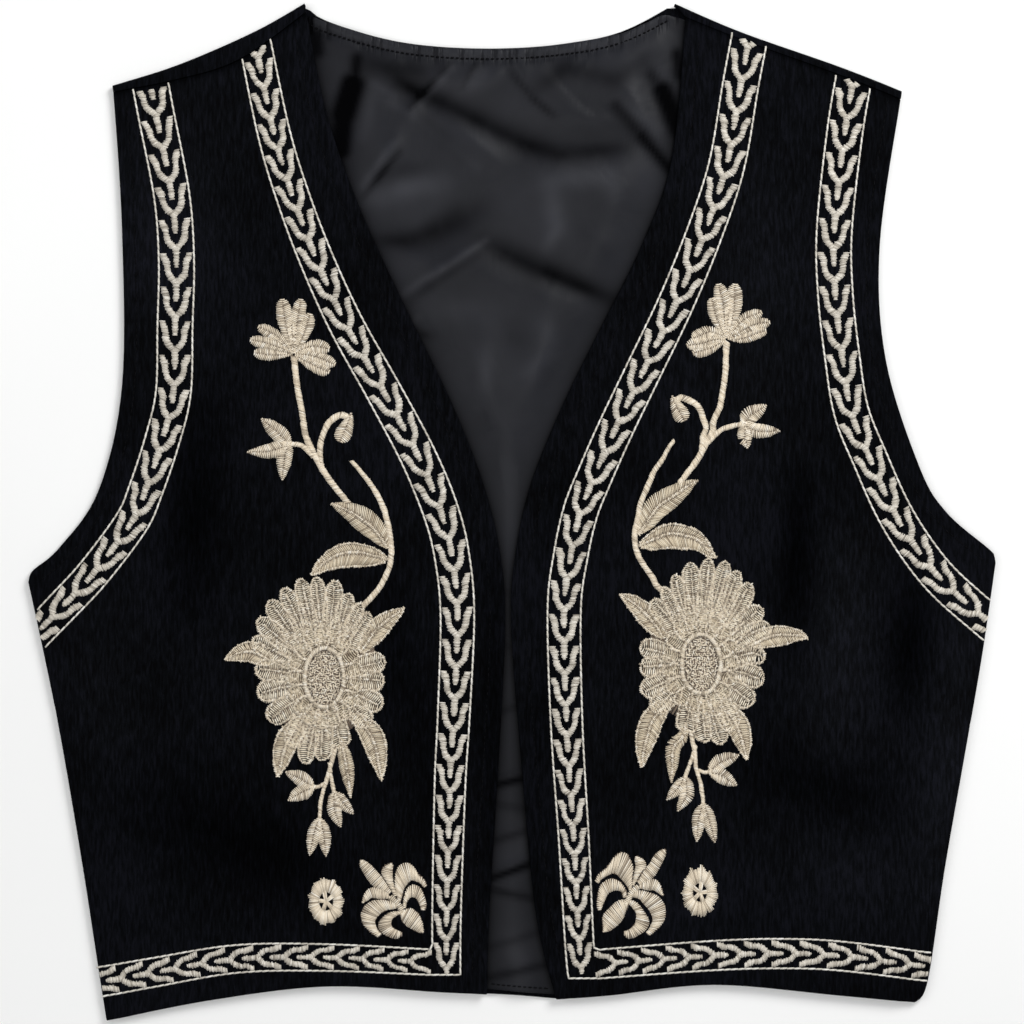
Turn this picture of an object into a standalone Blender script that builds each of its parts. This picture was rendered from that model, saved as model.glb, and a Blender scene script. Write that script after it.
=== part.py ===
# Cropped embroidered vest, laid flat with its fronts up. x runs across, y up to the neck and
# z up from the table. Sides are the wearer's: the right front lies at -x. Sizes are millimetres.
import math
from collections import namedtuple

import bmesh
import bpy
from mathutils import Vector

MM = 0.001
COLLECTION_NAME = "EmbroideredVest"

# Cloth walls, and the clearance where pieces lie on each other or meet at a seam
BACK_WALL = 1.2
LINING_WALL = 1.0
FRONT_WALL = 1.5
STITCH_WALL = 0.6
CENTRE_WALL = 1.1
SEAM_GAP = 0.3

# Undersides, from the table up
LINING_UNDERSIDE = BACK_WALL + SEAM_GAP
FRONT_UNDERSIDE = LINING_UNDERSIDE + LINING_WALL + SEAM_GAP

# A front rolls down onto the back over this width along its side seam and armhole
EDGE_ROLL = 9.0
LINING_INSET = 12.5
LINING_LAP = 12.0

# The back turns up and over each shoulder to a seam that lies forward of the fold
WRAP_STEPS = 5
WRAP_TOP_LEAST = 3.4

# Cells of the cloth grids
SIDE_SHARE = 0.46
SIDE_ROWS = 9
ARMHOLE_ROWS = 11
SHOULDER_CELLS = 5
NECK_CELLS = 8
LINING_HIDDEN_CELLS = 2
LINING_SEEN_CELLS = 17
LINING_LOWER_ROWS = 12
LINING_UPPER_ROWS = 21
FRONT_COLUMNS = (0.0, 0.025, 0.06, 0.12, 0.2, 0.3, 0.41, 0.52, 0.63, 0.73, 0.82, 0.91, 1.0)
SAMPLES_PER_SPAN = 6

# Outline points (x, y), hem to underarm, then underarm to shoulder tip
SIDE_SEAM = {
    "right": ((-194.8, -244.4), (-198.7, -219.6), (-206.4, -169.7), (-216.9, -108.2),
              (-225.1, -67.4), (-232.4, -33.4)),
    "left": ((193.5, -235.6), (199.7, -225.8), (207.8, -172.5), (217.0, -120.0),
             (225.6, -70.8), (232.4, -23.8)),
}
ARMHOLE = {
    "right": ((-232.4, -33.4), (-217.4, -17.5), (-198.7, 10.3), (-187.4, 60.7),
              (-187.4, 135.6), (-192.0, 205.0)),
    "left": ((232.4, -23.8), (208.8, -0.2), (195.9, 21.4), (179.6, 73.2),
             (176.7, 127.9), (187.3, 202.3)),
}
# Front edge points (x, y), hem to neck
FRONT_EDGE = {
    "right": ((-12.0, -231.6), (-11.0, -193.7), (-6.7, -124.1), (-3.3, -54.5), (-5.7, -19.9),
              (-13.9, 13.7), (-29.2, 52.6), (-52.8, 101.5), (-73.4, 146.6), (-89.2, 192.2),
              (-98.8, 239.8)),
    "left": ((21.2, -234.0), (11.6, -193.7), (4.8, -124.1), (-0.4, -54.5), (1.7, -19.9),
             (9.2, 13.7), (25.0, 52.6), (43.7, 90.5), (62.9, 129.4), (76.8, 170.2),
             (83.4, 237.5)),
}
# Hem points (x, y), from -x to +x
FRONT_HEM = {
    "right": ((-194.8, -244.4), (-145.4, -234.5), (-89.2, -227.8), (-34.0, -230.6), (-12.0, -231.6)),
    "left": ((21.2, -234.0), (47.1, -232.1), (97.0, -227.0), (156.5, -232.1), (193.5, -235.6)),
}
# Fold line over the shoulder and the seam in front of it (x, y), from -x to +x
SHOULDER_FOLD = {
    "right": ((-192.0, 205.0), (-160.8, 214.8), (-124.3, 230.6), (-99.8, 244.4)),
    "left": ((78.3, 244.2), (110.0, 230.6), (156.5, 214.3), (187.3, 202.3)),
}
SHOULDER_SEAM = {
    "right": ((-191.5, 201.6), (-163.2, 206.9), (-131.5, 216.7), (-98.8, 239.8)),
    "left": ((83.4, 237.5), (110.6, 226.6), (155.4, 210.4), (186.7, 198.2)),
}
NECKLINE = ((-99.8, 244.4), (-89.0, 236.1), (-49.9, 225.4), (0.0, 223.1), (47.1, 229.2), (78.3, 244.2))
HEM_MIDDLE = ((-12.0, -231.6), (3.0, -232.4), (21.2, -234.0))
LINING_HEM = ((-12.0, -230.8), (3.0, -231.6), (21.2, -233.2))
LINING_NECK = ((-97.0, 237.6), (-88.6, 235.4), (-49.9, 224.9), (0.0, 222.6), (47.1, 228.6), (64.0, 234.6),
               (75.0, 238.6))

# Soft folds: a line from (x1, y1) to (x2, y2), the half width of the fold and how far it rises
Fold = namedtuple("Fold", "x1 y1 x2 y2 width rise")
FRONT_FOLDS = {
    "right": (
        Fold(-178, -70, -150, -200, 24, 1.3),
        Fold(-140, 150, -120, 60, 26, 0.9),
        Fold(-60, -60, -70, -170, 26, 0.8),
    ),
    "left": (
        Fold(168, -25, 160, -125, 22, 1.5),
        Fold(206, -150, 165, -195, 20, 1.1),
        Fold(140, 150, 118, 60, 26, 0.9),
        Fold(62, -60, 74, -170, 26, 0.8),
    ),
}
# The lining puffs up inside the neck opening, with troughs and ridges across it
PUFF_RISE = 3.6
PUFF_FADE = 24.0
LINING_FOLDS = (
    Fold(-40, 203, 5, 181, 9, -3.0),
    Fold(5, 181, 54, 177, 9, -2.6),
    Fold(-67, 131, -40, 129, 8, -2.0),
    Fold(-40, 129, -18, 146, 8, -2.2),
    Fold(-8, 133, 22, 113, 9, -2.8),
    Fold(22, 113, 47, 102, 8, -2.2),
    Fold(-75, 217, -80, 168, 9, -3.2),
    Fold(64, 214, 80, 178, 8, -3.0),
    Fold(43, 194, 73, 168, 7, -1.8),
    Fold(-62, 172, -42, 158, 12, 1.4),
    Fold(10, 158, 46, 152, 14, 1.3),
    Fold(-14, 129, -52, 104, 7, 1.3),
    Fold(-15, 88, -10, 44, 8, 1.4),
    Fold(17, 100, 11, 62, 8, 1.2),
)

# Centre line of each stitched border (x, y): forks open towards the first point
BORDER = {
    "right_armhole": ((-170.8, 190.8), (-163.2, 151.4), (-161.0, 120.2), (-161.7, 89.0), (-162.5, 57.4),
                      (-168.2, 33.8), (-177.1, 10.3), (-182.8, -4.6), (-200.6, -29.0), (-214.5, -45.4)),
    "right_front": ((-121.9, 218.5), (-114.9, 182.6), (-106.3, 151.4), (-95.5, 120.2), (-81.3, 89.0),
                    (-63.3, 57.4), (-45.6, 26.2), (-34.0, -0.2), (-28.8, -21.4), (-25.9, -49.7),
                    (-28.0, -98.2), (-29.7, -129.4), (-31.6, -192.2), (-31.4, -221.5)),
    "right_hem": ((-43.0, -216.5), (-89.2, -214.8), (-132.0, -215.8), (-171.3, -221.0), (-187.0, -223.6)),
    "left_armhole": ((163.2, 192.0), (159.7, 182.6), (154.6, 135.6), (155.1, 104.4), (158.4, 74.6),
                     (162.8, 48.0), (171.9, 25.2), (182.9, 0.7), (195.4, -19.4), (214.0, -39.6)),
    "left_front": ((113.0, 222.5), (109.7, 205.2), (103.2, 167.3), (93.2, 136.1), (79.2, 101.5),
                   (62.9, 67.4), (50.4, 39.6), (40.4, 16.1), (33.6, -0.2), (28.4, -21.8),
                   (25.0, -47.3), (26.2, -102.0), (29.6, -156.7), (32.2, -205.2), (33.6, -222.5)),
    "left_hem": ((45.0, -216.5), (94.1, -212.4), (129.2, -212.4), (160.4, -214.6), (188.0, -217.4)),
}
# Where each border's first fork starts along its line, then the pitch of its forks and half its width,
# both at the start, the middle and the end of the line
Rhythm = namedtuple("Rhythm", "first pitch half_width")
RHYTHM = {
    "right_armhole": Rhythm(9.0, (16.3, 16.3, 15.8), (7.7, 7.5, 6.4)),
    "right_front": Rhythm(2.7, (14.9, 16.2, 13.6), (6.8, 7.9, 6.4)),
    "right_hem": Rhythm(0.0, (11.0, 13.3, 13.2), (5.6, 6.2, 6.3)),
    "left_armhole": Rhythm(2.9, (16.3, 16.2, 16.2), (7.5, 7.4, 7.2)),
    "left_front": Rhythm(0.4, (15.8, 16.1, 13.2), (7.6, 7.6, 6.6)),
    "left_hem": Rhythm(0.0, (11.2, 13.6, 14.6), (6.2, 6.6, 6.1)),
}
# A fork drawn for this pitch and half width: its arms run in to the joint, where its stem starts
FORK_PITCH = 15.35
FORK_HALF_WIDTH = 6.9
FORK_ARM = 3.0
FORK_BEND_DOWN = 6.6
FORK_BEND_OUT = 5.6
FORK_BEND_ARM = 2.7
FORK_CROTCH = 10.2
FORK_JOINT = 13.6
FORK_STEM = 3.0

# Spray on the right front (x, y); the left front mirrors it, a little nearer the neck
MIRROR_RAISE = 6.6
MIRROR_SHIFT = -0.5
MIRROR_LEAN = -0.017

Stem = namedtuple("Stem", "name start_width end_width route")
STEMS = (
    Stem("stem_upper", 2.6, 3.2, ((-104.8, 71.5), (-102.0, 53.5), (-98.8, 36.7), (-89.2, 17.0), (-80.4, 5.8))),
    Stem("stem_side", 2.4, 2.0, ((-99.2, 30.6), (-102.2, 32.6), (-106.8, 33.2))),
    Stem("stem_curl", 3.0, 5.4, ((-89.4, 26.6), (-90.8, 33.0), (-89.9, 40.1), (-85.9, 46.3), (-80.2, 47.5),
                                 (-76.3, 43.4), (-77.6, 37.6), (-81.6, 34.6))),
    Stem("stem_free", 1.6, 2.4, ((-76.8, 24.2), (-69.1, 15.1), (-62.8, 4.6), (-59.5, -7.0), (-58.0, -19.0),
                                 (-59.5, -27.1), (-64.3, -37.2), (-67.0, -40.6))),
    Stem("stem_buds", 2.0, 2.0, ((-88.8, -125.2), (-90.7, -133.7), (-91.9, -139.9), (-92.1, -146.4))),
)
# A leaf runs from its base to its tip, with a bend to one side at its middle
Leaf = namedtuple("Leaf", "name base_x base_y tip_x tip_y width bend")
LEAVES = (
    Leaf("leaf_upper", -62.6, -13.6, -86.6, 3.6, 10.6, -1.6),
    Leaf("leaf_lower", -62.0, -24.6, -96.0, -30.0, 11.5, -3.0),
    Leaf("leaf_flower_right", -63.8, -56.4, -52.3, -46.8, 7.0, 1.0),
    Leaf("leaf_flower_left", -123.8, -71.0, -137.2, -69.8, 8.0, 1.0),
    Leaf("leaf_flower_low_left", -106.0, -110.5, -112.3, -126.5, 7.5, -1.0),
    Leaf("leaf_flower_low_right", -70.2, -104.5, -63.3, -127.4, 8.5, 1.0),
    Leaf("leaf_flower_thin", -80.0, -115.5, -77.7, -137.0, 4.6, 0.6),
    Leaf("bud_right", -86.2, -129.5, -79.4, -151.0, 6.4, 1.0),
)
LEAF_CELLS = 8
# A flower's petals end at these offsets from its centre; between two petals the rim draws in
Flower = namedtuple("Flower", "name x y draw_in petals")
FLOWERS = (
    Flower("flower_top", -105.6, 79.0, 0.62, (
        (-12.0, -4.4), (-16.8, -1.5), (-19.2, 3.8), (-15.3, 10.0), (-4.8, 23.0), (3.9, 23.0),
        (8.7, 16.3), (12.0, 3.3), (17.3, -1.0), (20.2, -8.2), (16.8, -11.6))),
    Flower("flower_side", -112.3, 31.9, 0.36, ((-8.1, 12.0), (-14.9, -3.3), (1.7, -15.8))),
    Flower("bud_left", -98.6, -131.2, 0.5, ((-9.6, 6.6), (-8.4, -6.8), (3.4, -0.4))),
    Flower("bud_bottom", -92.6, -154.0, 0.5, ((-4.8, -9.9), (3.1, -10.9), (0.6, 6.0))),
    Flower("rosette", -89.2, -186.8, 0.88, tuple(
        (9.1 * math.cos(turn * math.tau / 10), 10.4 * math.sin(turn * math.tau / 10)) for turn in range(10))),
)
# Rim of the palmette (x, y): up one edge of each petal and down its other edge to the notch before the next
PALMETTE_RIM = (
    (-72.9, -169.4), (-72.4, -167.3), (-68.1, -168.9), (-64.3, -173.2), (-62.2, -176.2),
    (-63.0, -173.2), (-61.4, -170.2), (-57.8, -168.6), (-57.4, -173.0), (-57.2, -178.3), (-55.9, -184.4),
    (-56.1, -180.7), (-56.0, -174.5), (-54.2, -169.7), (-50.4, -168.2), (-47.0, -170.6), (-45.1, -173.7),
    (-42.2, -176.0), (-41.0, -179.3), (-42.4, -180.4), (-45.6, -177.4), (-48.6, -177.0), (-51.3, -179.8),
    (-52.9, -184.4), (-52.9, -188.0),
    (-51.9, -185.2), (-50.4, -181.0), (-47.5, -178.9), (-44.1, -180.4), (-42.0, -184.1), (-41.1, -188.4),
    (-42.0, -191.4), (-43.6, -190.9), (-44.6, -187.9), (-46.0, -185.3), (-48.6, -184.8), (-50.4, -187.0),
    (-51.4, -189.6),
    (-48.0, -190.4), (-44.6, -193.2), (-43.0, -197.5), (-42.6, -201.8), (-46.0, -201.4), (-49.4, -199.4),
    (-52.3, -196.6), (-53.2, -193.6),
    (-55.6, -193.9), (-57.8, -195.6), (-57.8, -198.5), (-55.6, -200.4), (-53.0, -201.6), (-52.8, -203.2),
    (-55.2, -204.7), (-59.0, -203.9), (-62.4, -201.2), (-64.0, -198.0), (-61.7, -194.3), (-58.0, -192.2),
    (-55.4, -190.9),
    (-60.0, -190.9), (-63.8, -193.0), (-65.8, -196.6), (-65.4, -200.4), (-64.4, -203.6), (-68.1, -201.4),
    (-71.5, -197.5), (-72.4, -192.7), (-70.0, -188.6), (-65.2, -186.5), (-59.5, -186.8), (-58.3, -185.9),
    (-63.3, -185.3), (-67.2, -184.9), (-69.6, -186.1), (-71.8, -187.4), (-72.0, -186.2), (-70.5, -182.6),
    (-67.0, -180.0), (-65.2, -180.4), (-64.0, -181.4), (-68.1, -177.8), (-71.0, -173.5),
)
NOTCH_LEAST = 0.25
# The large flower: an oval centre, a ring of short petals and a ring of long ones
BLOOM_CENTRE = (-89.9, -79.4)
BLOOM_OVAL = (9.4, 14.2)
BLOOM_SHORT_PETALS = 16
BLOOM_SHORT_REACH = (17.4, 23.6)
BLOOM_SHORT_DRAW_IN = 0.9
BLOOM_LONG_INSIDE = (18.2, 24.4)
BLOOM_LONG_DRAW_IN = 0.9
BLOOM_LONG_TIPS = (
    (28.5, 8.1), (27.6, -1.5), (26.4, -14.0), (17.5, -22.0), (8.0, -33.0), (-1.7, -37.0), (-8.9, -38.5),
    (-14.0, -31.5), (-26.2, -20.2), (-31.5, -7.7), (-32.5, 2.4), (-31.6, 16.4), (-31.5, 27.8),
    (-26.2, 36.4), (-19.5, 42.2), (-11.3, 46.0), (-4.1, 46.5), (5.0, 46.0), (12.2, 39.8), (19.0, 32.7),
    (23.2, 20.0),
)

# Looks: colour, roughness and sheen of the three cloths and threads
Look = namedtuple("Look", "colour roughness sheen")
LOOKS = {
    "crinkle_cloth_black": Look((0.010, 0.010, 0.014), 0.9, 0.2),
    "satin_charcoal": Look((0.028, 0.028, 0.033), 0.42, 0.0),
    "thread_cream": Look((0.70, 0.60, 0.46), 0.55, 0.3),
}


def clear_scene():
    for old in list(bpy.data.objects):
        bpy.data.objects.remove(old, do_unlink=True)


def make_material(name):
    look = LOOKS[name]
    material = bpy.data.materials.new(name)
    material.use_nodes = True
    shader = material.node_tree.nodes["Principled BSDF"]
    shader.inputs["Base Color"].default_value = (*look.colour, 1.0)
    shader.inputs["Roughness"].default_value = look.roughness
    shader.inputs["Metallic"].default_value = 0.0
    shader.inputs["Sheen Weight"].default_value = look.sheen
    return material


def smooth_step(share):
    held = min(1.0, max(0.0, share))
    return held * held * (3.0 - 2.0 * held)


class Route:
    """A smooth line through points, read by its share of the length."""

    def __init__(self, points):
        knots = [Vector(point) for point in points]
        padded = [knots[0]] + knots + [knots[-1]]
        self.spots = []
        for before, start, end, after in zip(padded, padded[1:], padded[2:], padded[3:]):
            for step in range(SAMPLES_PER_SPAN):
                t = step / SAMPLES_PER_SPAN
                ease_in = (end - before) * 0.5
                ease_out = (after - start) * 0.5
                self.spots.append(
                    start * (2 * t ** 3 - 3 * t ** 2 + 1) + ease_in * (t ** 3 - 2 * t ** 2 + t)
                    + end * (3 * t ** 2 - 2 * t ** 3) + ease_out * (t ** 3 - t ** 2))
        self.spots.append(knots[-1])
        self.reach = [0.0]
        for start, end in zip(self.spots, self.spots[1:]):
            self.reach.append(self.reach[-1] + (end - start).length)
        self.length = self.reach[-1]

    def at(self, share):
        goal = min(1.0, max(0.0, share)) * self.length
        for index in range(1, len(self.reach)):
            if self.reach[index] >= goal:
                break
        span = self.reach[index] - self.reach[index - 1]
        return self.spots[index - 1].lerp(self.spots[index], (goal - self.reach[index - 1]) / span)

    def heading(self, share, step=0.004):
        return (self.at(share + step) - self.at(share - step)).normalized()

    def x_at(self, y):
        """Where the line crosses a height."""
        for start, end in zip(self.spots, self.spots[1:]):
            if start.y <= y <= end.y:
                return start.x + (end.x - start.x) * (y - start.y) / (end.y - start.y)
        return self.spots[0].x if y < self.spots[0].y else self.spots[-1].x

    def distance(self, spot):
        nearest = math.inf
        for start, end in zip(self.spots, self.spots[1:]):
            along = end - start
            share = min(1.0, max(0.0, (spot - start).dot(along) / along.length_squared))
            nearest = min(nearest, (spot - start - along * share).length)
        return nearest


class Outline:
    """Routes end to end, each holding its share of the whole; corners stay sharp."""

    def __init__(self, *stretches):
        self.stretches = stretches

    def at(self, share):
        start = 0.0
        for end, route in self.stretches:
            if share <= end or end >= 1.0:
                return route.at((share - start) / (end - start))
            start = end

    def distance(self, spot):
        return min(route.distance(spot) for _, route in self.stretches)


def patch_spot(u, v, west, east, south, north):
    """A spot inside four edges: west and east are read by v, south and north by u."""
    across = west.at(v).lerp(east.at(v), u)
    up = south.at(u).lerp(north.at(u), v)
    low = south.at(0.0).lerp(south.at(1.0), u)
    high = north.at(0.0).lerp(north.at(1.0), u)
    return across + up - low.lerp(high, v)


SIDES = ("right", "left")
OUTER = {side: Outline((SIDE_SHARE, Route(SIDE_SEAM[side])), (1.0, Route(ARMHOLE[side]))) for side in SIDES}
FRONT_LINE = {side: Route(FRONT_EDGE[side]) for side in SIDES}
INNER = {side: Outline((1.0, FRONT_LINE[side])) for side in SIDES}
HEM = {side: Route(FRONT_HEM[side]) for side in SIDES}
FOLD_LINE = {side: Route(SHOULDER_FOLD[side]) for side in SIDES}
SEAM_LINE = {side: Route(SHOULDER_SEAM[side]) for side in SIDES}


def front_outer(side):
    """The side seam and armhole of a front, which stops at the shoulder seam."""
    seam_end = SHOULDER_SEAM[side][0 if side == "right" else -1]
    return Outline((SIDE_SHARE, Route(SIDE_SEAM[side])), (1.0, Route(ARMHOLE[side][:-1] + (seam_end,))))


FRONT_OUTER = {side: front_outer(side) for side in SIDES}


def front_edges(side):
    """West, east, south and north edges of one front."""
    if side == "right":
        return FRONT_OUTER[side], INNER[side], HEM[side], SEAM_LINE[side]
    return INNER[side], FRONT_OUTER[side], HEM[side], SEAM_LINE[side]


def front_spot(side, from_side, v):
    """A spot on a front, by its share of the way from the side seam to the front edge."""
    u = from_side if side == "right" else 1.0 - from_side
    return patch_spot(u, v, *front_edges(side))


def fold_rise(folds, spot):
    total = 0.0
    for fold in folds:
        start = Vector((fold.x1, fold.y1))
        along = Vector((fold.x2, fold.y2)) - start
        share = min(1.0, max(0.0, (spot - start).dot(along) / along.length_squared))
        gap = (spot - start - along * share).length
        total += fold.rise * math.exp(-(gap / fold.width) ** 2)
    return total


def front_underside(side, spot):
    roll = smooth_step(OUTER[side].distance(spot) / EDGE_ROLL)
    risen = FRONT_UNDERSIDE - LINING_UNDERSIDE + fold_rise(FRONT_FOLDS[side], spot)
    return LINING_UNDERSIDE + risen * roll


def front_top(side, spot):
    return front_underside(side, spot) + FRONT_WALL


def lining_rise(spot):
    """How far the lining stands up inside the neck opening; nothing under the fronts."""
    fade = 1.0
    for side, hand in (("right", 1.0), ("left", -1.0)):
        beyond = (spot.x - FRONT_LINE[side].x_at(spot.y)) * hand
        fade *= smooth_step(beyond / PUFF_FADE)
    return max(0.0, PUFF_RISE + fold_rise(LINING_FOLDS, spot)) * fade


def between(start, end, cells):
    return [start + (end - start) * cell / cells for cell in range(cells + 1)]


def cloth_object(name, mesh, wall, material_name):
    """An object whose open surface is given its wall, upwards."""
    piece = bpy.data.objects.new(name, mesh)
    parts.objects.link(piece)
    mesh.materials.append(materials[material_name])
    solid = piece.modifiers.new("wall", "SOLIDIFY")
    solid.thickness = wall * MM
    solid.offset = 1.0
    solid.use_even_offset = True
    return piece


def grid_cloth(name, columns, rows, place, wall, material_name, keep=None):
    """A grid whose crossings are placed one by one; place and keep take a column and a row."""
    surface = bmesh.new()
    bmesh.ops.create_grid(surface, x_segments=columns, y_segments=rows, size=0.5)
    crossings = {}
    for vertex in surface.verts:
        column = round((vertex.co.x + 0.5) * columns)
        row = round((vertex.co.y + 0.5) * rows)
        crossings[vertex] = (column, row)
        vertex.co = Vector(place(column, row)) * MM
    if keep is not None:
        dropped = []
        for face in surface.faces:
            column = min(crossings[vertex][0] for vertex in face.verts)
            row = min(crossings[vertex][1] for vertex in face.verts)
            if not keep(column, row):
                dropped.append(face)
        bmesh.ops.delete(surface, geom=dropped, context="FACES")
    mesh = bpy.data.meshes.new(name)
    surface.to_mesh(mesh)
    surface.free()
    return cloth_object(name, mesh, wall, material_name)


def cloth_rows(lower, upper):
    return between(0.0, SIDE_SHARE, lower) + between(SIDE_SHARE, 1.0, upper)[1:]


def wrap_size(side, seam):
    """Radius of the turn over the shoulder, from the height of the front at the seam."""
    return max(WRAP_TOP_LEAST, front_top(side, seam)) / 2.0


def build_back():
    rows = cloth_rows(SIDE_ROWS, ARMHOLE_ROWS)
    last_row = len(rows) - 1
    neck_start = SHOULDER_CELLS
    neck_end = SHOULDER_CELLS + NECK_CELLS
    columns = neck_end + SHOULDER_CELLS
    neckline = Route(NECKLINE)
    right_share = neck_start / columns
    left_share = neck_end / columns
    top = Outline((right_share, FOLD_LINE["right"]), (left_share, neckline), (1.0, FOLD_LINE["left"]))
    hem_middle = Route(HEM_MIDDLE)
    hem = Outline((0.46, HEM["right"]), (0.54, hem_middle), (1.0, HEM["left"]))

    def place(column, row):
        u = column / columns
        if row < last_row or neck_start < column < neck_end:
            spot = patch_spot(u, rows[min(row, last_row)], OUTER["right"], OUTER["left"], hem, top)
            return (*spot, 0.0)
        if column <= neck_start:
            side = "right"
            share = column / SHOULDER_CELLS
        else:
            side = "left"
            share = (column - neck_end) / SHOULDER_CELLS
        fold = FOLD_LINE[side].at(share)
        seam = SEAM_LINE[side].at(share)
        forward = (seam - fold).normalized()
        radius = wrap_size(side, seam)
        if row > last_row + WRAP_STEPS:
            return (*(seam - forward * SEAM_GAP), 2.0 * radius)
        angle = math.pi * (row - last_row) / WRAP_STEPS
        spot = fold + forward * radius * (1.0 - math.sin(angle))
        return (*spot, radius * (1.0 - math.cos(angle)))

    def keep(column, row):
        return row < last_row or column < neck_start or column >= neck_end

    return grid_cloth("back", columns, last_row + WRAP_STEPS + 1, place, BACK_WALL, "crinkle_cloth_black", keep)


class UnderFront:
    """The line under a front where the lining's fine grid begins."""

    def __init__(self, side):
        self.side = side

    def at(self, v):
        return front_spot(self.side, 1.0 - LINING_LAP / front_width(self.side, v), v)


def front_width(side, v):
    return (INNER[side].at(v) - FRONT_OUTER[side].at(v)).length


def build_lining():
    rows = cloth_rows(LINING_LOWER_ROWS, LINING_UPPER_ROWS)
    rows[0] = 0.003
    seen_start = LINING_HIDDEN_CELLS
    seen_end = seen_start + LINING_SEEN_CELLS
    columns = seen_end + LINING_HIDDEN_CELLS
    lap = {side: UnderFront(side) for side in SIDES}
    neck = Route((lap["right"].at(1.0), *LINING_NECK, lap["left"].at(1.0)))
    hem = Route((lap["right"].at(0.0), *LINING_HEM, lap["left"].at(0.0)))

    def hidden_spot(side, share, v):
        width = front_width(side, v)
        inset = LINING_INSET / width
        return front_spot(side, inset + (1.0 - LINING_LAP / width - inset) * share, v)

    def place(column, row):
        v = rows[row]
        if column < seen_start:
            spot = hidden_spot("right", column / LINING_HIDDEN_CELLS, v)
        elif column > seen_end:
            spot = hidden_spot("left", (columns - column) / LINING_HIDDEN_CELLS, v)
        else:
            u = (column - seen_start) / LINING_SEEN_CELLS
            spot = patch_spot(u, v, lap["right"], lap["left"], hem, neck)
        return (*spot, LINING_UNDERSIDE + lining_rise(spot))

    return grid_cloth("back_lining", columns, len(rows) - 1, place, LINING_WALL, "satin_charcoal")


def build_front(side):
    rows = cloth_rows(SIDE_ROWS, ARMHOLE_ROWS)
    last_column = len(FRONT_COLUMNS) - 1

    def place(column, row):
        from_side = FRONT_COLUMNS[column if side == "right" else last_column - column]
        spot = front_spot(side, from_side, rows[row])
        return (*spot, front_underside(side, spot))

    return grid_cloth(f"front_{side}", last_column, len(rows) - 1, place, FRONT_WALL, "crinkle_cloth_black")


def on_front(side, spot):
    """A spot just above a front's outer face, in metres."""
    return Vector((spot.x, spot.y, front_top(side, spot) + SEAM_GAP)) * MM


def stitched_object(name, surface, wall=STITCH_WALL):
    bmesh.ops.recalc_face_normals(surface, faces=surface.faces)
    if sum(face.normal.z * face.calc_area() for face in surface.faces) < 0.0:
        bmesh.ops.reverse_faces(surface, faces=surface.faces)
    mesh = bpy.data.meshes.new(name)
    surface.to_mesh(mesh)
    surface.free()
    return cloth_object(name, mesh, wall, "thread_cream")


def at_thirds(values, share):
    """Read three values as they run from the start over the middle to the end."""
    if share < 0.5:
        return values[0] + (values[1] - values[0]) * share * 2.0
    return values[1] + (values[2] - values[1]) * (share * 2.0 - 1.0)


def build_border(name):
    """A chain of forks: each fork's stem runs on into the crotch of the next one."""
    side = name.split("_")[0]
    route = Route(BORDER[name])
    rhythm = RHYTHM[name]
    surface = bmesh.new()
    half_stem = FORK_STEM / 2.0
    tops = [rhythm.first]
    while tops[-1] + FORK_JOINT + half_stem < route.length:
        tops.append(tops[-1] + at_thirds(rhythm.pitch, tops[-1] / route.length))

    def vertex(along, across):
        share = along / route.length
        heading = route.heading(share)
        spread = at_thirds(rhythm.half_width, min(1.0, share)) / FORK_HALF_WIDTH
        spot = route.at(share) + Vector((-heading.y, heading.x)) * across * spread
        return surface.verts.new(on_front(side, spot))

    outer = FORK_HALF_WIDTH
    inner = FORK_HALF_WIDTH - FORK_ARM
    bend_outer = FORK_BEND_OUT
    bend_inner = FORK_BEND_OUT - FORK_BEND_ARM
    crotch = None
    for top, following in zip(tops, tops[1:]):
        stretch = (following - top) / FORK_PITCH
        if crotch is None:
            crotch = [vertex(top + FORK_CROTCH * stretch, across) for across in (-half_stem, half_stem)]
        joint = [vertex(top + FORK_JOINT * stretch, across) for across in (-half_stem, half_stem)]
        for hand, end in ((-1.0, 0), (1.0, 1)):
            tip = [vertex(top, hand * across) for across in (outer, inner)]
            down = top + FORK_BEND_DOWN * stretch
            bend = [vertex(down, hand * across) for across in (bend_outer, bend_inner)]
            surface.faces.new((tip[0], tip[1], bend[1], bend[0]))
            surface.faces.new((bend[0], bend[1], crotch[end], joint[end]))
        surface.faces.new((crotch[0], crotch[1], joint[1], joint[0]))
        last = following == tops[-1]
        foot = following if last else following + FORK_CROTCH * stretch
        crotch = [vertex(min(foot, route.length), across) for across in (-half_stem, half_stem)]
        surface.faces.new((joint[0], joint[1], crotch[1], crotch[0]))
    return stitched_object(f"border_{name}", surface)


def mirrored(side, spot):
    """The same spot of the spray on the given side."""
    if side == "right":
        return spot
    return Vector((-spot.x + MIRROR_SHIFT + MIRROR_LEAN * spot.y, spot.y + MIRROR_RAISE))


def ribbon(name, side, centres, widths):
    """A flat strip along centres, as wide at each as its width."""
    cells = len(centres) - 1
    surface = bmesh.new()
    bmesh.ops.create_grid(surface, x_segments=1, y_segments=cells, size=0.5)
    for vertex in surface.verts:
        row = round((vertex.co.y + 0.5) * cells)
        hand = 1.0 if vertex.co.x > 0.0 else -1.0
        heading = (centres[min(row + 1, cells)] - centres[max(row - 1, 0)]).normalized()
        spot = centres[row] + Vector((-heading.y, heading.x)) * hand * widths[row] / 2.0
        vertex.co = on_front(side, mirrored(side, spot))
    return stitched_object(name, surface)


def build_stem(side, stem):
    route = Route(stem.route)
    cells = max(3, round(route.length / 5.0))
    shares = between(0.0, 1.0, cells)
    centres = [route.at(share) for share in shares]
    widths = [stem.start_width + (stem.end_width - stem.start_width) * share for share in shares]
    return ribbon(f"{stem.name}_{side}", side, centres, widths)


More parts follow.
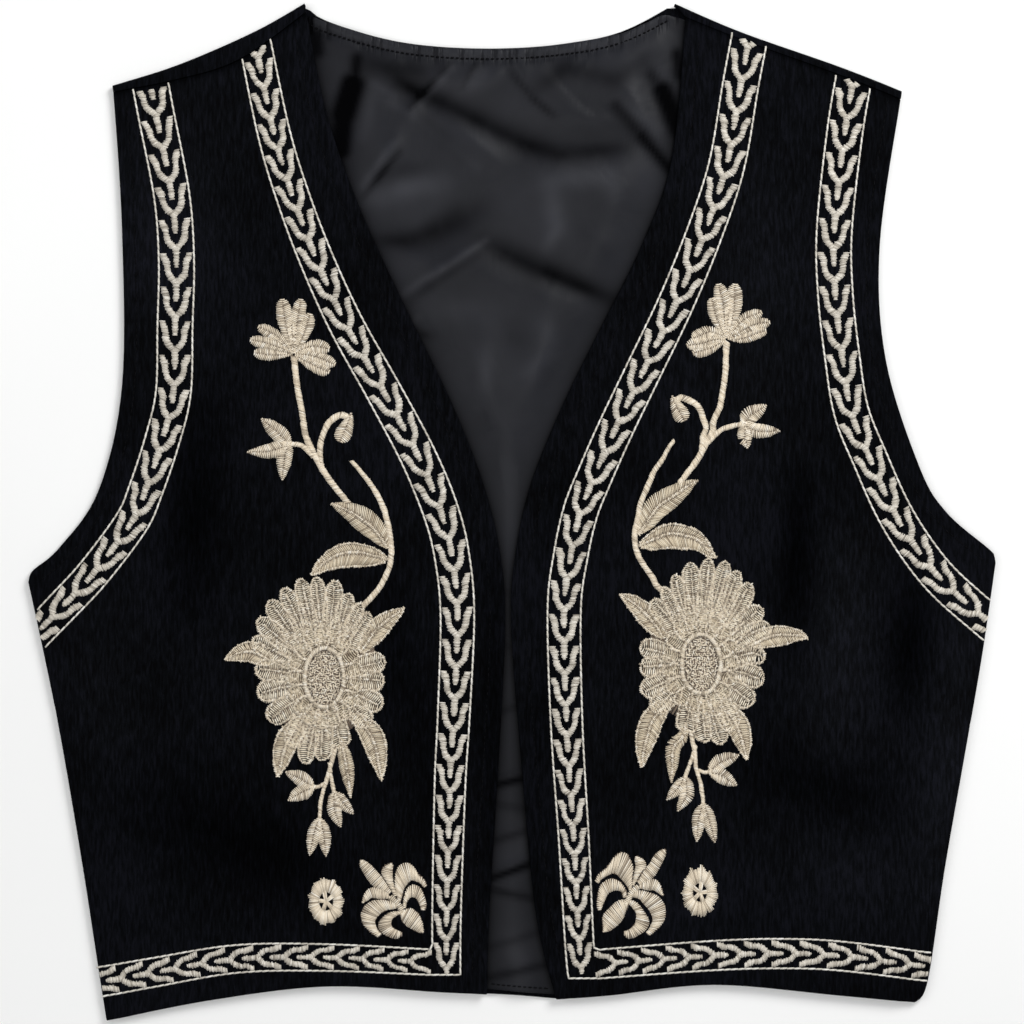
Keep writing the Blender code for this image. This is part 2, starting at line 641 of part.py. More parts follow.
def build_leaf(side, leaf):
    base = Vector((leaf.base_x, leaf.base_y))
    along = Vector((leaf.tip_x, leaf.tip_y)) - base
    sideways = Vector((-along.y, along.x)).normalized()
    centres = []
    widths = []
    for share in between(0.0, 1.0, LEAF_CELLS):
        bulge = math.sin(math.pi * share)
        centres.append(base + along * share + sideways * leaf.bend * bulge)
        widths.append(leaf.width * max(0.1, bulge ** 0.8))
    return ribbon(f"{leaf.name}_{side}", side, centres, widths)


def petal_rim(tips, draw_in):
    """Offsets around a flower: each petal's tip, then the notch before the next one."""
    points = [Vector(tip) for tip in tips]
    followers = points[1:] + points[:1]
    area = sum(point.x * after.y - point.y * after.x for point, after in zip(points, followers))
    turn = 1.0 if area > 0.0 else -1.0
    rim = []
    for point, after in zip(points, followers):
        angle = math.atan2(point.y, point.x)
        gap = (turn * (math.atan2(after.y, after.x) - angle)) % math.tau
        reach = (point.length + after.length) / 2.0 * draw_in * max(NOTCH_LEAST, math.cos(gap / 2.0))
        middle = angle + turn * gap / 2.0
        rim.append(point)
        rim.append(Vector((reach * math.cos(middle), reach * math.sin(middle))))
    return rim


def build_flower(side, flower):
    rim = petal_rim(flower.petals, flower.draw_in)
    centre = Vector((flower.x, flower.y))
    surface = bmesh.new()
    ring = bmesh.ops.create_circle(surface, cap_ends=True, cap_tris=True, segments=len(rim), radius=1.0)
    order = rim_order(ring["verts"])
    for vertex in surface.verts:
        offset = rim[order[vertex]] if vertex in order else Vector((0.0, 0.0))
        vertex.co = on_front(side, mirrored(side, centre + offset))
    return stitched_object(f"{flower.name}_{side}", surface)


def build_palmette(side):
    """Eight petals that meet at one point, stitched as one patch."""
    surface = bmesh.new()
    rim = [surface.verts.new(on_front(side, mirrored(side, Vector(spot)))) for spot in PALMETTE_RIM]
    surface.faces.new(rim)
    surface.normal_update()
    bmesh.ops.triangulate(surface, faces=surface.faces)
    return stitched_object(f"palmette_{side}", surface)


def rim_order(vertices):
    """The place of each rim vertex around a circle, by its angle; the middle one has none."""
    rim = [vertex for vertex in vertices if vertex.co.length > 0.5]
    rim.sort(key=lambda vertex: math.atan2(vertex.co.y, vertex.co.x))
    return {vertex: place for place, vertex in enumerate(rim)}


def oval(reach, count, turn=0.0):
    return [Vector((reach[0] * math.cos(turn + math.tau * step / count),
                    reach[1] * math.sin(turn + math.tau * step / count))) for step in range(count)]


def petal_ring(name, side, inside, outside):
    """A flat ring between two loops of as many points."""
    count = len(outside)
    centre = Vector(BLOOM_CENTRE)
    surface = bmesh.new()
    bmesh.ops.create_grid(surface, x_segments=count, y_segments=1, size=0.5)
    for vertex in surface.verts:
        step = round((vertex.co.x + 0.5) * count) % count
        loop = outside if vertex.co.y > 0.0 else inside
        vertex.co = on_front(side, mirrored(side, centre + loop[step]))
    bmesh.ops.remove_doubles(surface, verts=surface.verts, dist=0.01 * MM)
    return stitched_object(name, surface)


def build_bloom(side):
    """The large flower: raised oval centre inside two rings of petals."""
    centre = Vector(BLOOM_CENTRE)
    surface = bmesh.new()
    bmesh.ops.create_circle(surface, cap_ends=True, cap_tris=True, segments=20, radius=1.0)
    for vertex in surface.verts:
        offset = Vector((vertex.co.x * BLOOM_OVAL[0], vertex.co.y * BLOOM_OVAL[1]))
        vertex.co = on_front(side, mirrored(side, centre + offset))
    stitched_object(f"bloom_centre_{side}", surface, CENTRE_WALL)

    count = BLOOM_SHORT_PETALS
    short_rim = petal_rim([tuple(tip) for tip in oval(BLOOM_SHORT_REACH, count)], BLOOM_SHORT_DRAW_IN)
    short_inside = oval([reach + 0.8 for reach in BLOOM_OVAL], len(short_rim))
    petal_ring(f"bloom_short_petals_{side}", side, short_inside, short_rim)

    long_rim = petal_rim(BLOOM_LONG_TIPS, BLOOM_LONG_DRAW_IN)
    long_inside = [inside_point(offset) for offset in long_rim]
    petal_ring(f"bloom_long_petals_{side}", side, long_inside, long_rim)


def inside_point(offset):
    """The point of the long petals' inner oval that lies towards an offset."""
    scaled = Vector((offset.x / BLOOM_LONG_INSIDE[0], offset.y / BLOOM_LONG_INSIDE[1])).normalized()
    return Vector((scaled.x * BLOOM_LONG_INSIDE[0], scaled.y * BLOOM_LONG_INSIDE[1]))


clear_scene()
parts = bpy.data.collections.new(COLLECTION_NAME)
bpy.context.scene.collection.children.link(parts)
materials = {name: make_material(name) for name in LOOKS}

build_back()
build_lining()
for side in SIDES:
    build_front(side)
for border in BORDER:
    build_border(border)
for side in SIDES:
    for stem in STEMS:
        build_stem(side, stem)
    for leaf in LEAVES:
        build_leaf(side, leaf)
    for flower in FLOWERS:
        build_flower(side, flower)
    build_palmette(side)
    build_bloom(side)
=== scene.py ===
import math

import bmesh
import bpy
import numpy as np
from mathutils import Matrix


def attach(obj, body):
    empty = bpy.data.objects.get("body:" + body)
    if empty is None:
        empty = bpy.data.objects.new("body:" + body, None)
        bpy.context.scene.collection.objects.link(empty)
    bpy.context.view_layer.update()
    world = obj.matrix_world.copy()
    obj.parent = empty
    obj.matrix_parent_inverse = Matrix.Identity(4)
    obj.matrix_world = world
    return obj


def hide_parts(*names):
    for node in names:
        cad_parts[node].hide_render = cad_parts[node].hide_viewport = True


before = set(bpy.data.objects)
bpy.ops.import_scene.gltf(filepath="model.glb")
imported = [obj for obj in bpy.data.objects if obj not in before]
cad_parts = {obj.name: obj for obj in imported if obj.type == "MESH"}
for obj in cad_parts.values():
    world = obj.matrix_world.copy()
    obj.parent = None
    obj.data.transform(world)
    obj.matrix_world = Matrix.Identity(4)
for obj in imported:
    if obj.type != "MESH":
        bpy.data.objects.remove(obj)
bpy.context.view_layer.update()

# Sizes are millimetres until a mesh is filled. Sides are the wearer's: the right front lies at -x.
mm = 0.001
sides = ("right", "left")
inward = {"right": 1.0, "left": -1.0}   # from a front's outer edge towards the opening
rng = np.random.default_rng(11)

outline = {
    "sideSeam": {   # hem to underarm
        "right": [(-194.8, -244.4), (-198.7, -219.6), (-206.4, -169.7), (-216.9, -108.2),
                  (-225.1, -67.4), (-232.4, -33.8)],
        "left": [(193.5, -235.6), (199.7, -225.8), (207.8, -172.5), (217.0, -120.0),
                 (225.6, -70.8), (232.4, -24.4)],
    },
    "armhole": {   # underarm to shoulder tip
        "right": [(-232.4, -33.8), (-231.6, -30.2), (-229.3, -27.2), (-217.4, -17.0), (-198.7, 10.3),
                  (-187.4, 60.7), (-187.4, 135.6), (-192.0, 205.0)],
        "left": [(232.4, -24.4), (231.6, -20.8), (229.0, -17.6), (208.8, -0.2), (195.9, 21.4), (179.6, 73.2),
                 (176.7, 127.9), (187.3, 202.3)],
    },
    "frontEdge": {   # hem to neck
        "right": [(-12.0, -231.6), (-11.0, -193.7), (-6.7, -124.1), (-3.3, -54.5), (-5.7, -19.9),
                  (-13.9, 13.7), (-29.2, 52.6), (-52.8, 101.5), (-73.4, 146.6), (-89.2, 192.2),
                  (-98.8, 239.8)],
        "left": [(21.2, -234.0), (11.6, -193.7), (4.8, -124.1), (-0.4, -54.5), (1.7, -19.9),
                 (9.2, 13.7), (25.0, 52.6), (43.7, 90.5), (62.9, 129.4), (76.8, 170.2),
                 (83.4, 237.5)],
    },
    "hem": {   # from -x to +x
        "right": [(-194.8, -244.4), (-145.4, -234.5), (-89.2, -227.8), (-34.0, -230.6), (-12.0, -231.6)],
        "left": [(21.2, -234.0), (47.1, -232.1), (97.0, -227.0), (156.5, -232.1), (193.5, -235.6)],
    },
    "shoulderFold": {
        "right": [(-192.0, 205.0), (-160.8, 214.8), (-124.3, 230.6), (-99.8, 244.4)],
        "left": [(78.3, 244.2), (110.0, 230.6), (156.5, 214.3), (187.3, 202.3)],
    },
    "shoulderSeam": {
        "right": [(-191.5, 201.6), (-163.2, 206.9), (-131.5, 216.7), (-98.8, 239.8)],
        "left": [(83.4, 237.5), (110.6, 226.6), (155.4, 210.4), (186.7, 198.2)],
    },
    "neckline": [(-99.8, 244.4), (-89.0, 236.1), (-49.9, 225.4), (0.0, 223.1), (47.1, 229.2), (78.3, 244.2)],
    "hemMiddle": [(-12.0, -231.6), (3.0, -232.4), (21.2, -234.0)],
    "sideShare": 0.46,   # where the underarm lies on a front's outer edge
    "edgeRuns": (480.0, 510.0),   # the length of the edge at the pace of its stretches below and above there
}
cloth = {
    "backWall": 1.2, "liningWall": 1.0, "frontWall": 1.5, "seamGap": 0.3,
    "edgeRoll": 9.0,        # a front rolls down onto the back over this width
    "wrapTopLeast": 3.4,    # least height of the turn over the shoulder
    "foldedEdge": 0.45,     # rounding of a turned edge
    "shell": 0.9,           # what shows is this thick, on the solid's outer face
}
liningUnderside = cloth["backWall"] + cloth["seamGap"]
frontUnderside = liningUnderside + cloth["liningWall"] + cloth["seamGap"]


# Lines and patches

def smoothLine(points, perSpan=8):
    knots = np.array(points, float)
    padded = np.vstack([knots[:1], knots, knots[-1:]])
    t = np.arange(perSpan)[:, None] / perSpan
    runs = []
    for before, start, end, after in zip(padded, padded[1:], padded[2:], padded[3:]):
        easeIn = (end - before) * 0.5
        easeOut = (after - start) * 0.5
        runs.append(start * (2 * t ** 3 - 3 * t ** 2 + 1) + easeIn * (t ** 3 - 2 * t ** 2 + t)
                    + end * (3 * t ** 2 - 2 * t ** 3) + easeOut * (t ** 3 - t ** 2))
    return np.vstack(runs + [knots[-1:]])


def lineLength(line):
    return float(np.linalg.norm(np.diff(line, axis=0), axis=1).sum())


def along(line, shares):
    steps = np.linalg.norm(np.diff(line, axis=0), axis=1)
    reach = np.concatenate([[0.0], np.cumsum(steps)])
    goal = np.clip(shares, 0.0, 1.0) * reach[-1]
    return np.stack([np.interp(goal, reach, line[:, 0]), np.interp(goal, reach, line[:, 1])], axis=-1)


def heading(line, shares, step=0.006):
    ahead = along(line, np.asarray(shares) + step) - along(line, np.asarray(shares) - step)
    return ahead / np.maximum(np.linalg.norm(ahead, axis=-1, keepdims=True), 1e-9)


def leftOf(directions):
    return np.stack([-directions[..., 1], directions[..., 0]], axis=-1)


def gapTo(line, spots):
    nearest = np.full(len(spots), np.inf)
    for start, end in zip(line, line[1:]):
        run = end - start
        share = np.clip(((spots - start) @ run) / max(float(run @ run), 1e-12), 0.0, 1.0)
        nearest = np.minimum(nearest, np.linalg.norm(spots - start - share[:, None] * run, axis=1))
    return nearest


def crossAt(line, y):
    order = np.argsort(line[:, 1])
    return np.interp(y, line[order, 1], line[order, 0])


def smoothStep(share):
    held = np.clip(share, 0.0, 1.0)
    return held * held * (3.0 - 2.0 * held)


def joined(stretches):
    def at(shares):
        shares = np.asarray(shares, float)
        spots = np.zeros(shares.shape + (2,))
        start = 0.0
        for end, line in stretches:
            inside = (shares >= start) & (shares <= end)
            spots[inside] = along(line, (shares[inside] - start) / (end - start))
            start = end
        return spots
    return at


def patch(u, v, west, east, south, north):
    u = np.asarray(u, float)
    v = np.asarray(v, float)
    uu, vv = u[:, None], v[:, None]
    ends = np.array([0.0, 1.0])
    low, high = south(ends), north(ends)
    across = west(v) * (1 - uu) + east(v) * uu
    up = south(u) * (1 - vv) + north(u) * vv
    corners = (low[0] * (1 - uu) + low[1] * uu) * (1 - vv) + (high[0] * (1 - uu) + high[1] * uu) * vv
    return across + up - corners


lines = {name: {side: smoothLine(outline[name][side]) for side in sides}
         for name in ("sideSeam", "armhole", "frontEdge", "hem", "shoulderFold", "shoulderSeam")}
neckLine = smoothLine(outline["neckline"])
hemMiddleLine = smoothLine(outline["hemMiddle"])


def outerEdge(side, toSeam):
    points = list(outline["armhole"][side])
    if toSeam:
        points[-1] = outline["shoulderSeam"][side][0 if side == "right" else -1]
    share = outline["sideShare"]
    return joined([(share, lines["sideSeam"][side]), (1.0, smoothLine(points))])


def frontSpots(side, fromSide, v):
    outer = outerEdge(side, True)
    inner = joined([(1.0, lines["frontEdge"][side])])
    south = joined([(1.0, lines["hem"][side])])
    north = joined([(1.0, lines["shoulderSeam"][side])])
    if side == "right":
        return patch(fromSide, v, outer, inner, south, north)
    return patch(1.0 - np.asarray(fromSide), v, inner, outer, south, north)


# Heights

def foldRise(folds, spots):
    # each fold is a line from (x1, y1) to (x2, y2), its half width, its rise, and a share of crispness
    total = np.zeros(len(spots))
    for x1, y1, x2, y2, width, rise, crisp in folds:
        start = np.array([x1, y1])
        run = np.array([x2 - x1, y2 - y1])
        raw = ((spots - start) @ run) / (run @ run)
        share = np.clip(raw, 0.0, 1.0)
        gap = np.linalg.norm(spots - start - share[:, None] * run, axis=1) / width
        soft = np.exp(-gap ** 2)
        sharp = np.exp(-gap * 1.6)
        body = 0.55 + 0.45 * np.sin(math.pi * share)
        total += rise * body * (soft * (1 - crisp) + sharp * crisp)
    return total


frontFolds = {   # x1, y1, x2, y2, half width, rise, crispness
    "right": [
        (-178, -70, -150, -200, 24, 1.3, 0.0),
        (-140, 150, -120, 60, 26, 0.9, 0.0),
        (-60, -60, -70, -170, 26, 0.8, 0.0),
        (-205, -60, -168, -30, 9, 0.45, 0.2),
        (-214, -110, -150, -84, 8, -0.35, 0.1),
        (-190, 60, -168, 20, 7, 0.35, 0.2),
        (-120, -150, -112, -205, 10, 0.4, 0.0),
        (-150, 190, -128, 140, 9, 0.3, 0.0),
        (-30, -100, -22, -200, 7, 0.35, 0.0),
    ],
    "left": [
        (168, -25, 160, -125, 22, 1.5, 0.0),
        (206, -150, 165, -195, 20, 1.1, 0.0),
        (140, 150, 118, 60, 26, 0.9, 0.0),
        (62, -60, 74, -170, 26, 0.8, 0.0),
        (216, -50, 178, -26, 9, 0.45, 0.2),
        (212, -92, 150, -70, 8, -0.35, 0.1),
        (184, 60, 164, 20, 7, 0.35, 0.2),
        (118, -150, 128, -205, 10, 0.4, 0.0),
        (150, 190, 128, 140, 9, 0.3, 0.0),
        (18, -100, 24, -200, 7, 0.35, 0.0),
    ],
}
sewing = {   # seams pressed into the fronts
    "edgeStitchIn": 7.2,
    "armholeStitchIn": 6.2,
    "grooveWidth": 0.9,
    "grooveDepth": 0.28,
    "dartWidth": 1.1,
    "dartDepth": 0.55,
    "dart": {
        "right": [(-222.0, -95.5), (-180.0, -77.0), (-150.0, -49.0)],
        "left": [(220.0, -102.0), (205.0, -85.2), (184.0, -66.5), (146.0, -34.8)],
    },
}


def frontTop(side, spots):
    # outer face of a front
    toSide = np.minimum(gapTo(lines["sideSeam"][side], spots), gapTo(lines["armhole"][side], spots))
    roll = smoothStep(toSide / cloth["edgeRoll"])
    risen = frontUnderside - liningUnderside + foldRise(frontFolds[side], spots)
    top = liningUnderside + risen * roll + cloth["frontWall"]
    toArmhole = gapTo(lines["armhole"][side], spots)
    toFront = gapTo(lines["frontEdge"][side], spots)
    for gap, inset in ((toArmhole, sewing["armholeStitchIn"]), (toFront, sewing["edgeStitchIn"])):
        top -= sewing["grooveDepth"] * np.exp(-((gap - inset) / sewing["grooveWidth"]) ** 2)
    toDart = gapTo(smoothLine(sewing["dart"][side]), spots)
    top -= sewing["dartDepth"] * np.exp(-(toDart / sewing["dartWidth"]) ** 2)
    return top


surface = {   # the height map that the stitches are laid on
    "step": 1.0, "cells": (242, 498),
    "corner": {"right": (-236.0, -248.0), "left": (-6.0, -248.0)},
}


def heightMap(side):
    across, up = (start + surface["step"] * np.arange(count)
                  for start, count in zip(surface["corner"][side], surface["cells"]))
    grid = np.stack(np.meshgrid(across, up, indexing="ij"), axis=-1).reshape(-1, 2)
    return frontTop(side, grid).reshape(surface["cells"])


heightMaps = {side: heightMap(side) for side in sides}


def onFront(side, spots):
    heights = heightMaps[side]
    place = (spots - np.array(surface["corner"][side])) / surface["step"]
    column = np.clip(np.floor(place[..., 0]).astype(int), 0, heights.shape[0] - 2)
    row = np.clip(np.floor(place[..., 1]).astype(int), 0, heights.shape[1] - 2)
    fx = np.clip(place[..., 0] - column, 0.0, 1.0)
    fy = np.clip(place[..., 1] - row, 0.0, 1.0)
    lower = heights[column, row] * (1 - fx) + heights[column + 1, row] * fx
    upper = heights[column, row + 1] * (1 - fx) + heights[column + 1, row + 1] * fx
    return lower * (1 - fy) + upper * fy


# Meshes

def newPiece(name, mesh, material):
    piece = bpy.data.objects.new(name, mesh)
    bpy.context.scene.collection.objects.link(piece)
    mesh.materials.append(material)
    mesh.shade_smooth()
    return piece


def pointsOf(mesh):
    flat = np.empty(len(mesh.vertices) * 3)
    mesh.vertices.foreach_get("co", flat)
    return flat.reshape(-1, 3)


def gridSheet(name, columns, rows, place, material, drop=None):
    # a flat grid whose points go where place puts them; drop names the cells that are left out
    columns = np.asarray(columns, float)
    rows = np.asarray(rows, float)
    bm = bmesh.new()
    bmesh.ops.create_grid(bm, x_segments=len(columns) - 1, y_segments=len(rows) - 1, size=0.5)
    if drop is not None:
        last = np.array([len(columns) - 1, len(rows) - 1])
        gone = [face for face in bm.faces
                if drop(*np.floor((np.array(face.calc_center_median()[:2]) + 0.5) * last + 1e-6).astype(int))]
        bmesh.ops.delete(bm, geom=gone, context="FACES")
    mesh = bpy.data.meshes.new(name)
    bm.to_mesh(mesh)
    bm.free()
    unit = pointsOf(mesh)[:, :2] + 0.5
    column = np.rint(unit[:, 0] * (len(columns) - 1)).astype(int)
    row = np.rint(unit[:, 1] * (len(rows) - 1)).astype(int)
    spots = place(column, row, columns[column], rows[row])
    mesh.vertices.foreach_set("co", (spots * mm).ravel())
    mesh.update()
    return newPiece(name, mesh, material)


def keepValues(piece, name, valuesAt):
    # a value at each point, which the material reads under the same name
    kept = piece.data.attributes.new(name, "FLOAT", "POINT")
    kept.data.foreach_set("value", valuesAt(pointsOf(piece.data)[:, :2] / mm).astype(np.float32))


def giveWall(piece, thickness, offset):
    wall = piece.modifiers.new("wall", "SOLIDIFY")
    wall.thickness = thickness * mm
    wall.offset = offset
    edge = piece.modifiers.new("turnedEdge", "BEVEL")
    edge.width = min(cloth["foldedEdge"], thickness * 0.45) * mm
    edge.segments = 2
    edge.limit_method = "ANGLE"
    edge.angle_limit = math.radians(50)


def spaced(start, end, step):
    return np.linspace(start, end, max(2, int(round(abs(end - start) / step)) + 1))


def sheetRows(step, first=0.0):
    # rows from the hem up, one of them at the underarm
    share = outline["sideShare"]
    lower, upper = outline["edgeRuns"]
    return np.concatenate([spaced(first, share, step / lower), spaced(share, 1.0, step / upper)[1:]])


# Materials

def linear(hexColour):
    parts = [int(hexColour[i:i + 2], 16) / 255.0 for i in (1, 3, 5)]
    return [part / 12.92 if part <= 0.04045 else ((part + 0.055) / 1.055) ** 2.4 for part in parts] + [1.0]


def addNode(tree, kind, inputs=None, **settings):
    # each input is a plain value or another node's output
    node = tree.nodes.new(kind)
    for key, value in settings.items():
        setattr(node, key, value)
    for key, value in (inputs or {}).items():
        if isinstance(value, bpy.types.NodeSocket):
            tree.links.new(value, node.inputs[key])
        else:
            node.inputs[key].default_value = value
    return node


def newMaterial(name, values):
    material = bpy.data.materials.new(name)
    material.use_nodes = True
    tree = material.node_tree
    shader = tree.nodes["Principled BSDF"]
    for key, value in values.items():
        shader.inputs[key].default_value = value
    return material, tree, shader, addNode(tree, "ShaderNodeTexCoord").outputs["Object"]


def addNoise(tree, place, cells, detail, roughness=0.5, distortion=0.0):
    # cells: how many there are in a metre, in every direction or along each axis
    if isinstance(cells, tuple):
        place = addNode(tree, "ShaderNodeMapping", {"Vector": place, "Scale": cells}).outputs["Vector"]
        cells = 1.0
    inputs = {"Vector": place, "Scale": cells, "Detail": detail, "Roughness": roughness,
              "Distortion": distortion}
    return addNode(tree, "ShaderNodeTexNoise", inputs).outputs["Fac"]


def addMaths(tree, operation, *terms, **settings):
    inputs = dict(enumerate(terms))
    return addNode(tree, "ShaderNodeMath", inputs, operation=operation, **settings).outputs["Value"]


def remap(tree, value, ends, newEnds, **settings):
    inputs = dict(enumerate((value, *ends, *newEnds)))
    return addNode(tree, "ShaderNodeMapRange", inputs, **settings).outputs["Result"]


def ownValue(tree, name):
    # what the piece's mesh holds at each point under this name
    return addNode(tree, "ShaderNodeAttribute", attribute_name=name).outputs["Fac"]


def paintedTint(tree, shader, colour, name, reach):
    # painted light and shade: the piece's own value, from -1 to 1, makes the colour darker or lighter, and
    # guides the gloss too
    strength = remap(tree, ownValue(tree, name), (-1.0, 1.0), (1.0 - reach, 1.0 + reach))
    toned = addNode(tree, "ShaderNodeVectorMath", {"Vector": colour, "Scale": strength}, operation="SCALE")
    tree.links.new(toned.outputs["Vector"], shader.inputs["Base Color"])
    return strength


def addBump(tree, shader, height, strength, depth):
    bump = addNode(tree, "ShaderNodeBump", {"Strength": strength, "Distance": depth * mm, "Height": height})
    tree.links.new(bump.outputs["Normal"], shader.inputs["Normal"])


def colourRamp(tree, factor, stops):
    ramp = addNode(tree, "ShaderNodeValToRGB", {"Fac": factor})
    elements = ramp.color_ramp.elements
    while len(elements) < len(stops):
        elements.new(0.5)
    for element, (place, colour) in zip(elements, stops):
        element.position = place
        element.color = linear(colour)
    return ramp.outputs["Color"]


crinkleLook = {
    "dark": "#010102", "mid": "#050609", "light": "#0d0e14", "stops": (0.58, 0.78, 1.0),
    "ridge": 1.2, "ridgeRun": 7.0, "weaveCells": (2200.0, 1500.0, 2200.0), "weaveShare": 0.25,
    "broadCells": 14.0, "broadShare": 0.55,
    "roughness": 0.85, "gloss": 0.04, "paintedFoldLightReach": 0.8, "bump": 0.9, "bumpDepth": 0.6,
}


def crinkleCloth():
    # crinkled crepe, woven and heat-set: matt, with short uneven upright ridges that catch the light, and
    # painted lighter or darker, gloss too, in broad soft passes, as painted light and shade on its broad
    # folds
    look = crinkleLook
    material, tree, shader, place = newMaterial("wovenCrinkleCrepe", {"Roughness": look["roughness"]})
    across, up = 1.0 / (look["ridge"] * mm), 1.0 / (look["ridgeRun"] * mm)
    ridges = addNoise(tree, place, (across, up, across), 3.0, 0.55, 0.35)
    weave = addNoise(tree, place, look["weaveCells"], 1.0)
    broad = addNoise(tree, place, look["broadCells"], 2.0)
    mixed = addMaths(tree, "MULTIPLY_ADD", broad, look["broadShare"], ridges)
    shade = colourRamp(tree, mixed, list(zip(look["stops"], (look["dark"], look["mid"], look["light"]))))
    # painted light and shade of the broad folds scale the colour and the gloss
    strength = paintedTint(tree, shader, shade, "paintedFoldLight", look["paintedFoldLightReach"])
    tree.links.new(addMaths(tree, "MULTIPLY", strength, look["gloss"]), shader.inputs["Specular IOR Level"])
    height = addMaths(tree, "MULTIPLY_ADD", weave, look["weaveShare"], ridges)
    addBump(tree, shader, height, look["bump"], look["bumpDepth"])
    return material


# the colour that the painted shade runs to, and the gloss that the painted shade takes away
satinLook = {
    "deep": "#14151a", "mid": "#1c1d22", "light": "#23242a", "paintedShade": "#020203", "stops": (0.3, 0.52, 0.75),
    "thread": 0.45, "threadRun": 180.0, "gather": 2.4, "gatherRun": 40.0, "gatherBand": (4.0, 11.0),
    "roughness": 0.46, "gloss": 0.16, "glossLost": -0.15, "paintedLightReach": 0.9, "bump": 0.35, "bumpDepth": 1.2,
}


def satinLining():
    # satin-woven polyester: long floats give it a smooth, soft gloss; its colour and gloss are painted darker
    # in hollows and gathers, as painted shade
    look = satinLook
    material, tree, shader, place = newMaterial("satinWovenPolyester", {"Roughness": look["roughness"]})
    cloudy = addNoise(tree, place, 20.0, 3.0)
    shade = colourRamp(tree, cloudy, list(zip(look["stops"], (look["deep"], look["mid"], look["light"]))))
    # painted shade: the creases of the neck band's gathers are painted darker and lose gloss; they are
    # pressed into the bump too
    gathers = addNoise(tree, place, (1.0 / (look["gather"] * mm), look["gatherRun"], look["gatherRun"]), 2.0,
                       distortion=0.4)
    creased = remap(tree, gathers, (0.5, 0.34), (0.0, 1.0))
    inBand = remap(tree, ownValue(tree, "neckGap"), look["gatherBand"], (0.5, 0.0),
                   interpolation_type="SMOOTHSTEP")
    pinched = addMaths(tree, "MULTIPLY", creased, inBand)
    # painted shade: the lining's painted shade and the gathers' painted crease shade, together
    darkness = addMaths(tree, "ADD", ownValue(tree, "paintedShade"), pinched, use_clamp=True)
    shadow = addNode(tree, "ShaderNodeMix", {0: darkness, 6: shade, 7: linear(look["paintedShade"])},
                     data_type="RGBA")
    # painted light and shade: the value turn makes the satin lighter where it turns to the light, darker
    # where it turns away
    strength = paintedTint(tree, shader, shadow.outputs[2], "turn", look["paintedLightReach"])
    gloss = addMaths(tree, "MULTIPLY_ADD", darkness, look["glossLost"], look["gloss"])
    tree.links.new(addMaths(tree, "MULTIPLY", gloss, strength), shader.inputs["Specular IOR Level"])
    floats = addNoise(tree, place, (1.0 / (look["thread"] * mm), look["threadRun"], look["threadRun"]), 1.0)
    rumple = addNoise(tree, place, 60.0, 2.0, distortion=0.6)
    height = addMaths(tree, "MULTIPLY_ADD", floats, 0.06, rumple)
    height = addMaths(tree, "SUBTRACT", height, pinched)
    addBump(tree, shader, height, look["bump"], look["bumpDepth"])
    return material


threadLooks = {   # colours from the shaded to the lit side of a strand
    "rayonThreadCream": ("#8f806d", "#eadcc4", "#fbf4e6"),
    "rayonThreadFill": ("#9c8b75", "#efe3cb", "#fdf6e6"),
    "rayonThreadShaded": ("#8c7b66", "#dacbb0", "#f2e8d2"),
    "rayonThreadUnderlay": ("#4d4033", "#746454", "#958370"),
    "rayonThreadBorder": ("#7d7569", "#cdc6b9", "#f2ede3"),
    "cottonThreadPale": ("#b9b2a6", "#e4dfd3", "#f8f5ee"),
    "polyesterThreadBlack": ("#020203", "#060608", "#0c0c10"),
}


def spunThread(name):
    # twisted embroidery thread: each strand has a soft lustre, and strands differ a little in tone
    black = name == "polyesterThreadBlack"
    material, tree, shader, place = newMaterial(name, {
        "Roughness": 0.7 if black else 0.48, "Sheen Weight": 0.0 if black else 0.2, "Sheen Roughness": 0.4,
        "Specular IOR Level": 0.08 if black else 0.35})
    fibre = addNoise(tree, place, 2600.0, 1.0)
    mixed = addMaths(tree, "MULTIPLY_ADD", fibre, 0.3, ownValue(tree, "tone"))
    shade = colourRamp(tree, mixed, list(zip((0.15, 0.6, 1.0), threadLooks[name])))
    tree.links.new(shade, shader.inputs["Base Color"])
    addBump(tree, shader, fibre, 0.3, 0.2)
    return material


crinkle = crinkleCloth()
satin = satinLining()
threads = {name: spunThread(name) for name in threadLooks}
print("materials ready")


# Fronts

frontMesh = {"step": 2.6, "width": 215.0, "outerColumns": [0.0, 0.004, 0.01, 0.018, 0.028],
             "middleColumns": (0.04, 0.985), "innerColumns": [0.993, 1.0]}
clothPaintedPasses = {   # x1, y1, x2, y2, half width, amount: painted light and shade, soft passes where the cloth's broad folds look lighter or darker
    "right": [(-159, 188, -174, 87, 29, 0.5), (-150, 44, -154, -42, 15, -0.8),
              (-202, -52, -193, -119, 19, 0.4), (-174, -138, -87, -177, 24, -0.7),
              (-58, -42, -40, -138, 12, -0.5), (-10, -23, -8, -186, 8, -0.5)],
    "left": [(119, 149, 109, 44, 24, 0.5), (138, 15, 136, -62, 9, -0.9), (162, -23, 153, -110, 16, 0.9),
             (193, -33, 189, -90, 12, -0.9), (217, -52, 205, -177, 14, 0.7), (119, -119, 172, -138, 18, -0.7),
             (148, -162, 186, -186, 20, 0.3), (23, 15, 9, -186, 10, -0.3)],
}
seamShade = {"width": 1.8, "amount": -0.8}   # painted shade: the soft dark line along a shoulder seam, where its groove lies in shade


def clothPaintedLight(side, spots):
    # painted light and shade of the broad folds, and painted shade along the shoulder seam
    passes = foldRise([(*row, 0.0) for row in clothPaintedPasses[side]], spots)
    seam = np.exp(-(gapTo(lines["shoulderSeam"][side], spots) / seamShade["width"]) ** 2)
    return np.clip(passes + seamShade["amount"] * seam, -1.0, 1.0)


